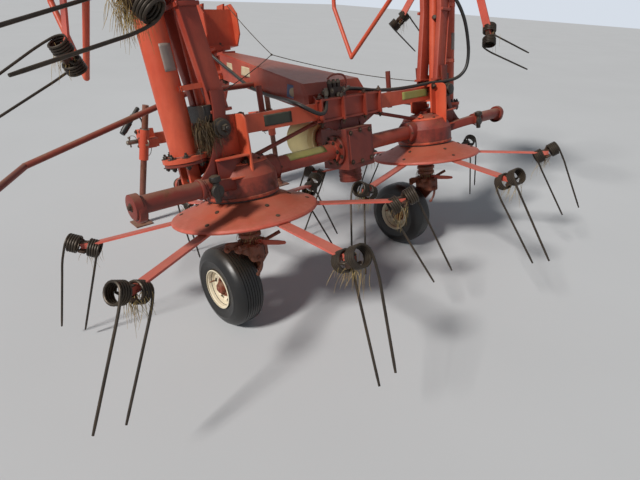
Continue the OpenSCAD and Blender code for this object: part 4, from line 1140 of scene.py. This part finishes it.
class TEDDER_OT_hinge_plates(TedderPiece):
    """Outward-facing plate of each hinge bracket with its rounded top, and the channel below it"""
    bl_idname = "tedder.hinge_plates"
    bl_label = "Hinge plates"

    def make(self, context):
        form, dark, bolts = Form(), Form(), Form()
        u = np.radians(np.linspace(0, 90, 7))
        top = np.stack([-0.108 - 0.03 * np.sin(u), 0.355 + 0.03 * np.cos(u)], -1)
        outline = np.concatenate([[(-0.072, 0.15), (-0.072, 0.385)], top, [(-0.138, 0.262), (-0.134, 0.15)]])
        for side in (-1, 1):
            frame_at = spot(side * 0.66, 0, 0) @ np.array([[0, 0, side, 0], [1, 0, 0, 0], [0, 1, 0, 0], [0, 0, 0, 1.0]])
            form.add(slab(outline, 0.008, 0.0015), frame_at)
            for z, deep in ((0.235, 0.04), (0.158, 0.038)):
                plate = [(0.664, -0.094), (0.786, -0.094), (0.796, -0.104), (0.79, -0.094 - deep * 0.7),
                         (0.74, -0.094 - deep), (0.664, -0.094 - deep)]
                form.add(slab(np.array(plate) * (side, 1), 0.006, 0.0012), spot(0, 0, z))
            # the channel's web, set back between its flanges, takes the darker red paint: painted shade in the recess
            dark.add(block(0.124, 0.004, 0.074, 0.001), spot(side * 0.726, -0.0955, 0.1965))
            for y, z, size in ((-0.106, 0.207, 0.02), (-0.118, 0.17, 0.012)):
                bolt(bolts, spot(side * 0.664, y, z, "y", side * 90), size, stud=0.006)
        form.build("hinge_outer_plates", "paint", "frame")
        dark.build("hinge_channel_walls", "paint_shade", "frame")
        bolts.build("hinge_plate_bolts", "bolt", "frame")


class TEDDER_OT_castings(TedderPiece):
    """Bosses, caps, seams and plugs that finish the gearboxes, the drive tubes and the side tubes"""
    bl_idname = "tedder.castings"
    bl_label = "Castings"

    def make(self, context):
        form, dark = Form(), Form()
        centre = spot(0, -0.085, 0.143, "x", 90)
        # rear cover of the centre gearbox: rim, plate seat with its rivets, oil plug
        form.add(block(0.15, 0.16, 0.008, 0.012, 0.003), centre @ shift(0, 0.012, 0.0005))
        for a, b in ((-0.066, -0.056), (0.066, -0.056), (-0.066, 0.08), (0.066, 0.08), (0, 0.086), (0, -0.062)):
            bolt(dark, centre @ shift(a, b, 0.0046), 0.012, stud=0.002)
        for side in (-1, 1):
            face = spot(side * 0.09, 0, DRIVE_Z, "y", side * 90)
            form.spin([(40, -4), (71, -4), (72.5, 0), (72.5, 11), (70, 14.5), (55, 15.5), (54.5, 14.6), (40, 14.6)],
                      64, face)
            bolt_ring(dark, face, 8, 0.063, 0.0153, 0.01, 22.5)
            # collars of the drive tube at the rotor gearbox
            neck = spot(side * (INNER_X - 0.172), 0, DRIVE_Z, "y", -side * 90)
            form.spin([(38.5, -2), (54, -2), (55.5, 1.5), (54.5, 6), (48, 10), (38.5, 11)], 56, neck)
            bolt_ring(dark, neck, 6, 0.048, 0.006, 0.009, 30, 12)
            # end cap of the side tube, dished, and the ring next to it
            cap = spot(side * 1.145, SIDE_TUBE_Y, 0.15, "y", side * 90)
            form.spin([(0, -3), (12, -2), (30, 1.5), (37, 3.5), (41.3, 1.5), (41.8, -3), (41.8, -22), (41, -24)], 48,
                      cap)
        # lower bearing house of the centre gearbox, with ribs
        for z, r in ((-0.012, 0.0565), (0.006, 0.0575), (0.024, 0.0575), (0.042, 0.0565)):
            form.add(spun([(r - 0.004, z - 0.004), (r, z - 0.0025), (r, z + 0.0025), (r - 0.004, z + 0.004)], 48),
                     MACHINE)
        form.build("frame_castings", "paint_shade", "frame")
        dark.build("casting_bolts", "bolt", "frame")
        for name, side, folded, _ in ROTORS:
            base, form = on_rotor(side, folded), Form()
            # dark seam under the drum, breather and filler plug on the dome
            form.spin([(138, 60.6), (146.5, 60.6), (147.8, 61.5), (147.8, 65), (145.5, 65.8), (138, 65.8)], 72, base)
            body = carrier(side, folded)
            form.build("gearbox_seam_" + name, "grease", body)
            form = Form()
            form.spin([(150.5, 68), (152.8, 70), (152.8, 78), (150.5, 80)], 72, base)
            form.spin([(118.5, 196.5), (119.5, 200), (116, 204.5), (106, 206.5), (100, 208.5)], 72, base)
            plug = base @ turn("z", 205) @ shift(0.088, 0, 0.2135) @ turn("y", 19)
            form.spin([(0, 0), (15, 0), (15, 6), (12, 8), (0, 8)], 28, plug)
            bolt(form, plug @ shift(0, 0, 0.008), 0.014, washer=False)
            form.build("gearbox_rims_" + name, "paint_hinge", body)


class TEDDER_OT_joints(TedderPiece):
    """Universal joints on the fold axes: the inner fork with its shaft, and the cross with its bearing caps"""
    bl_idname = "tedder.joints"
    bl_label = "Drive joints"

    def make(self, context):
        for side, word in SIDES:
            form, mid = Form(), spot(side * HINGE_X, 0, DRIVE_Z)
            shaft = mid @ turn("y", -side * 90)
            form.spin([(0, 36), (22, 36), (24, 40), (24, 56), (19, 60), (19, 75)], 28, shaft)
            ear = rounded(0.034, 0.062, 0.014, 6)
            for way in (-1, 1):
                form.add(slab(ear, 0.01, 0.002), mid @ shift(-side * 0.014, 0, way * 0.025) @ turn("z", 90))
            form.build("joint_fork_" + word, "grease", "frame")
            form = Form()
            for degrees in (180, 0, -90, 90):
                form.spin([(8.5, 0), (8.5, 14), (11.5, 14.5), (11.5, 21.5), (9, 23), (0, 23)], 22,
                          mid @ turn("x", degrees))
            form.spin([(0, -11), (11, -8), (13, 0), (11, 8), (0, 11)], 20, mid)
            form.build("joint_cross_" + word, "steel", "frame")


def hex_fitting(form, place, size, long, neck=0.0):
    """A hexagon union: two chamfered rings of six sides with a round neck where neck is over nothing."""
    r = size * 0.577
    form.add(spun([(0, 0), (r * 0.9, 0), (r, size * 0.08), (r, long - size * 0.08), (r * 0.9, long), (0, long)], 6,
                  17.0), place)
    if neck:
        form.add(spun(drum(r * 0.62, long, long + neck), 20), place)


class TEDDER_OT_guard(TedderPiece):
    """Yellow bell of the drive's guard: a cone whose radius ripples near its foot and rolls over at its lip"""
    bl_idname = "tedder.guard"
    bl_label = "Drive guard"

    def make(self, context):
        place = spot(0, 0.166, 0.188, "x", -90)
        h = np.concatenate([np.linspace(0.004, 0.04, 19), np.linspace(0.046, 0.176, 16)])
        r = 0.078 + 0.08 * h + 0.0016 * np.sin(h * 700.0) * (h < 0.04)
        foot = [(0.0625, -0.0015), (0.076, -0.0015), (0.0788, 0.0)]
        lip = [(0.0925, 0.182), (0.0938, 0.186), (0.0945, 0.1885), (0.093, 0.1892)]
        form = Form().add(spun(np.concatenate([foot, np.stack([r, h], -1), lip]), 80), place)
        piece = form.build("drive_guard_bell", "guard", "frame", angle=60, solid=0.0022)
        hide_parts("pto_guard")
        form = Form()
        bolt_ring(form, place, 4, 0.07, 0.0, 0.01, 45)
        form.build("guard_bolts", "bolt", "frame")


class TEDDER_OT_valve(TedderPiece):
    """Valve on the beam: hexagon unions, plugs, the hand lever and the loop of its return spring"""
    bl_idname = "tedder.valve"
    bl_label = "Valve"

    def make(self, context):
        x, z = -0.066, 0.4023
        form = Form()
        for side, size in ((-1, 0.027), (1, 0.025)):
            hex_fitting(form, spot(x + side * 0.05, -0.01, z + 0.012, "y", side * 90), size, 0.014, 0.01)
        for dx in (-0.028, 0.0, 0.028):
            top = spot(x + dx, -0.01, z + 0.047)
            hex_fitting(form, top, 0.021, 0.01)
            form.spin([(0, 10), (7.5, 10), (7.5, 17), (5, 19), (0, 19)], 18, top)
        for dx in (-0.038, 0.038):
            bolt(form, spot(x + dx, VALVE_BACK, z + 0.016, "x", 90), 0.011)
        form.spin([(0, 0), (12, 0), (13.5, 2), (13.5, 10), (9, 14), (9, 24), (0, 25)], 26,
                  spot(x - 0.004, VALVE_BACK, z - 0.006, "x", 90))
        form.build("valve_fittings", "steel", "frame")
        lever = Form()
        path = curve([(x + 0.062, -0.02, z + 0.02), (x + 0.07, -0.024, z + 0.052), (x + 0.058, -0.02, z + 0.078),
                      (x + 0.024, -0.014, z + 0.086), (x - 0.012, -0.012, z + 0.082), (x - 0.036, -0.01, z + 0.07)], 6)
        lever.add(tube(path, 0.0045, 10), MACHINE)
        u = np.linspace(0, 7 * FULL, 120)
        coil = np.stack([x + 0.05 + 0.0075 * np.cos(u), -0.02 + 0.0075 * np.sin(u), z + 0.032 + 0.0022 * u / FULL], -1)
        lever.add(tube(coil, 0.0009, 6, ref=(0, 0, 1)), MACHINE)
        lever.build("valve_lever", "paint_shade", "frame")


class TEDDER_OT_ropes(TedderPiece):
    """Pull ropes: from the mast to a ring over the arm, and on to the lock at each wing; each hangs as a parabola"""
    bl_idname = "tedder.ropes"
    bl_label = "Pull ropes"

    def make(self, context):
        ring = np.array([0.07, 0.6, 0.638])
        for name, a, b, sag in (("rope_from_mast", (0.062, 0.955, 0.952), ring + (0.0, 0.005, 0.005), 0.01),
                                ("rope_to_left_lock", ring, (-0.752, 0.112, 0.412), 0.016),
                                ("rope_to_right_lock", ring, (0.752, 0.112, 0.402), 0.02)):
            t = np.linspace(0, 1, 41)[:, None]
            a, b = np.array(a, float), np.array(b, float)
            path = moved(MACHINE, a + (b - a) * t - np.array([0, 0, 4 * sag]) * t * (1 - t))
            # three strands twisted together, seen as ripples that run round the rope
            s = np.linspace(0, 1, 241)
            fine = np.stack([np.interp(s, t[:, 0], path[:, i]) for i in range(3)], -1)
            u = np.linspace(0, FULL, 11)
            grid = tube(fine, 0.0021, 10)
            grid[1:-1] += (grid[1:-1] - fine[:, None]) * (0.16 * np.sin(3 * u[None, :] + 420 * s[:, None]))[..., None]
            piece = Form().add(grid).build(name, "rope", angle=70)
            if name == "rope_from_mast":
                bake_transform(piece)
            else:
                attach(piece, "frame")
        form = Form()
        for k in range(3):
            form.spin([(3.5, -2.5), (6.2, -1), (6.2, 1), (3.5, 2.5), (3.5, -2.5)], 20,
                      spot(*ring, "x", 60 * k, "y", 50 * k))
        for side in (-1, 1):
            knot = spot(side * 0.754, 0.111, 0.407 - side * 0.004)
            for k in range(3):
                form.spin([(3, -3), (7.5, -1), (7.5, 1), (3, 3), (3, -3)], 20,
                          knot @ turn("x", 50 * k) @ turn("y", 70 * k))
            # the lock's eye bolt on the bracket that the knot is tied to
            u = np.linspace(0, FULL, 25)
            eye = np.stack([0.758 * side + 0 * u, 0.104 + 0.008 * np.cos(u), 0.4 + 0.008 * np.sin(u)], -1)
            form.add(tube(eye, 0.0024, 8, ref=(1, 0, 0), ends=False), MACHINE)
            form.add(tube([(0.758 * side, 0.1, 0.394), (0.757 * side, 0.084, 0.388), (0.754 * side, 0.066, 0.384)],
                          0.0026, 8), MACHINE)
        form.build("rope_knots", "rope", "frame")


class TEDDER_OT_headstock_fittings(TedderPiece):
    """Linch pins with their rings, stop bolts, stand pins, the swivel's nut and the hose coupler"""
    bl_idname = "tedder.headstock_fittings"
    bl_label = "Headstock fittings"

    def make(self, context):
        form, dark = Form(), Form()
        for side in (-1, 1):
            # chamfered nose of the link pin, its hole's pin and the sprung wire ring
            tip = side * (0.478 + 0.084)
            form.spin([(0, 6), (7, 6), (14.2, 0.5), (14.2, -2), (0, -2)], 28,
                      spot(tip, LINK_Y, LINK_Z, "y", side * 90))
            at = (side * 0.545, LINK_Y, LINK_Z)
            form.add(tube([(at[0], at[1], at[2] + 0.026), (at[0], at[1], at[2] - 0.03)], 0.0048, 12), MACHINE)
            form.spin([(0, 0), (8.5, 0), (8.5, 10), (6, 12), (0, 12)], 20, spot(at[0], at[1], at[2] + 0.024))
            u = np.linspace(0.06, 1.94, 30) * np.pi
            hoop = np.stack([at[0] + 0.022 - 0.022 * np.cos(u), at[1] + 0 * u,
                             at[2] + 0.026 + 0.021 * np.sin(u) - 0.012 * np.sin(u / 2)], -1)
            form.add(tube(hoop, 0.0017, 8, ref=(0, 1, 0)), MACHINE)
            wire = curve([(side * 0.4, 1.335, 0.3), (side * 0.418, 1.318, 0.262), (side * 0.432, 1.312, 0.205),
                          (side * 0.45, 1.314, 0.158), (side * 0.47, 1.322, 0.14)], 6)
            form.add(tube(wire, 0.0022, 8), MACHINE)
            for y, z in ((1.325, 0.295), (1.395, 0.295), (1.325, 0.205), (1.395, 0.205)):
                bolt(dark, spot(side * 0.478, y, z, "y", side * 90), 0.015)
            # pin through each stand's sleeve
            stand = shift(side * 0.585, 1.29 - LINE_BEHIND, 0) @ turn("y", -side * 10) @ shift(0, 0, 0.53)
            form.add(tube([(-0.042, 0, 0), (0.044, 0, 0)], 0.0055, 12), stand @ turn("z", 90))
            form.add(tube(curve([(-0.04, 0, 0.002), (-0.054, 0, 0.006), (-0.06, 0, 0.022), (-0.052, 0, 0.034)], 5),
                          0.0045, 10), stand @ turn("z", 90))
            form.spin([(19.5, 89.5), (28.5, 89.5), (29, 92), (27, 94.5), (19.5, 94.5)], 36, stand)
        for x in (-0.045, 0.045):
            for z in (0.575, 0.705):
                bolt(dark, spot(x, 1.102, z, "x", -90), 0.018, stud=0.006)
        for way in (-1, 1):
            top = spot(0, 1.01, 0.64 + way * 0.092, "x", 90 - 90 * way)
            dark.spin([(0, 0), (30, 0), (31, 1.5), (31, 5), (0, 5.2)], 32, top)
            bolt(dark, top @ shift(0, 0, 0.005), 0.032, stud=0.006, washer=False)
        for way in (-1, 1):
            form.spin([(13.2, -1), (26, -1), (27, 1), (27, 3.5), (13.2, 3.5)], 36,
                      spot(way * 0.1165, 1.036, 0.935, "y", way * 90))
        form.build("headstock_pins", "steel", "headstock")
        dark.build("headstock_bolts", "bolt", "headstock")
        # the parked coupler of the feed hose in its holder on the left link block
        form = Form()
        line = np.array([(-0.462, 1.318, 0.44), (-0.505, 1.314, 0.395), (-0.548, 1.31, 0.352), (-0.6, 1.306, 0.3)])
        go = aim(line[0], line[-1])
        long = float(np.linalg.norm(line[-1] - line[0]))
        form.add(spun([(0, 0), (0.01, 0), (0.013, 0.004), (0.013, 0.06), (0.0175, 0.064), (0.0175, 0.082),
                       (0.016, 0.085), (0.016, 0.108), (0.0195, 0.112), (0.0195, long - 0.02), (0.017, long - 0.016),
                       (0.017, long - 0.002), (0.015, long), (0, long)], 28), MACHINE @ go)
        form.add(tube([(-0.44, 1.34, 0.3), (-0.455, 1.33, 0.37), (-0.486, 1.318, 0.414)], 0.005, 10), MACHINE)
        form.build("parked_coupler", "hose", "headstock")


class TEDDER_OT_cylinder_fittings(TedderPiece):
    """Glands, port unions, pin heads and grease nipples of the fold cylinders"""
    bl_idname = "tedder.cylinder_fittings"
    bl_label = "Cylinder fittings"

    def make(self, context):
        fold = math.radians(FOLD)
        eye = np.array([HINGE_X + EYE_OUT * math.cos(fold) - EYE_UP * math.sin(fold), 0,
                        DRIVE_Z + EYE_OUT * math.sin(fold) + EYE_UP * math.cos(fold)])
        base = np.array(CYLINDER_FOOT)
        length = float(np.linalg.norm(eye - base))
        for side, word in SIDES:
            flip = np.array([side, 1, 1])
            line = MACHINE @ aim(base * flip, eye * flip)
            form, dark = Form(), Form()
            top = length - 0.15
            form.spin([(26.2, -30), (27.5, -29), (27.5, -24), (26.2, -23)], 40, line @ shift(0, 0, top))
            form.spin([(13, 4), (25.5, 4), (24, 6.5), (18, 7.5), (15, 9.5), (13, 10)], 36, line @ shift(0, 0, top))
            form.spin([(22.6, 30), (24.5, 32), (24.5, 44), (22.6, 46)], 40, line)
            # port boss on the barrel, turned inwards and back so that it clears the rails when the wing is down
            along = (base + (eye - base) * (0.62 * top / length)) * flip
            port = spot(*along, "z", side * 45, "y", side * -90)
            form.spin(drum(12.5, 18, 28), 24, port)
            hex_fitting(dark, port @ shift(0, 0, 0.028), 0.021, 0.011, 0.006)
            form.build("barrel_rings_" + word, "paint_shade", "barrel_" + word)
            dark.build("barrel_ports_" + word, "steel", "barrel_" + word)
            pins = Form()
            for way in (-1, 1):
                at = spot(*(base * flip), "x", 90 * way) @ shift(0, 0, 0.0723)
                pins.spin([(0, 0), (16.5, 0), (17.5, 1.5), (17.5, 6), (14, 8.5), (0, 8.5)], 28, at)
                pins.spin([(0, 8.5), (3.5, 8.5), (3.5, 12), (2.5, 13.5), (0, 14)], 12, at)
            pins.build("base_pin_heads_" + word, "bolt", "frame")


class TedderPanel(bpy.types.Panel):
    """Sidebar panel that lists the pieces and their settings"""
    bl_idname = "TEDDER_PT_panel"
    bl_label = "Hay Tedder"
    bl_space_type = "VIEW_3D"
    bl_region_type = "UI"
    bl_category = "Tedder"

    def draw(self, context):
        for group_of in (context.scene.tedder_sizes, context.scene.tedder_colours):
            for key in group_of.__annotations__:
                self.layout.prop(group_of, key)
        for op in OPERATORS:
            self.layout.operator(op.bl_idname)


OPERATORS = [TEDDER_OT_stage, TEDDER_OT_hoses, TEDDER_OT_cad_finish, TEDDER_OT_tines, TEDDER_OT_tyres,
             TEDDER_OT_rims, TEDDER_OT_hay, TEDDER_OT_fastenings, TEDDER_OT_leg_fittings, TEDDER_OT_stickers,
             TEDDER_OT_welds, TEDDER_OT_wing_rails, TEDDER_OT_side_tubes, TEDDER_OT_hinge_plates, TEDDER_OT_castings,
             TEDDER_OT_joints, TEDDER_OT_guard, TEDDER_OT_valve, TEDDER_OT_ropes, TEDDER_OT_headstock_fittings,
             TEDDER_OT_cylinder_fittings]
CLASSES = [TedderSizes, TedderColours] + OPERATORS + [TedderPanel]


def register():
    """Makes the classes and the scene's settings known to Blender."""
    for c in CLASSES:
        bpy.utils.register_class(c)
    bpy.types.Scene.tedder_sizes = PointerProperty(type=TedderSizes)
    bpy.types.Scene.tedder_colours = PointerProperty(type=TedderColours)


def unregister():
    """Takes them away again."""
    del bpy.types.Scene.tedder_colours
    del bpy.types.Scene.tedder_sizes
    for c in reversed(CLASSES):
        bpy.utils.unregister_class(c)


def main():
    """Makes every piece in turn."""
    register()
    make_materials()
    for op in OPERATORS:
        family, call = op.bl_idname.split(".")
        getattr(getattr(bpy.ops, family), call)()
    bpy.context.view_layer.update()


if __name__ == "__main__":
    main()
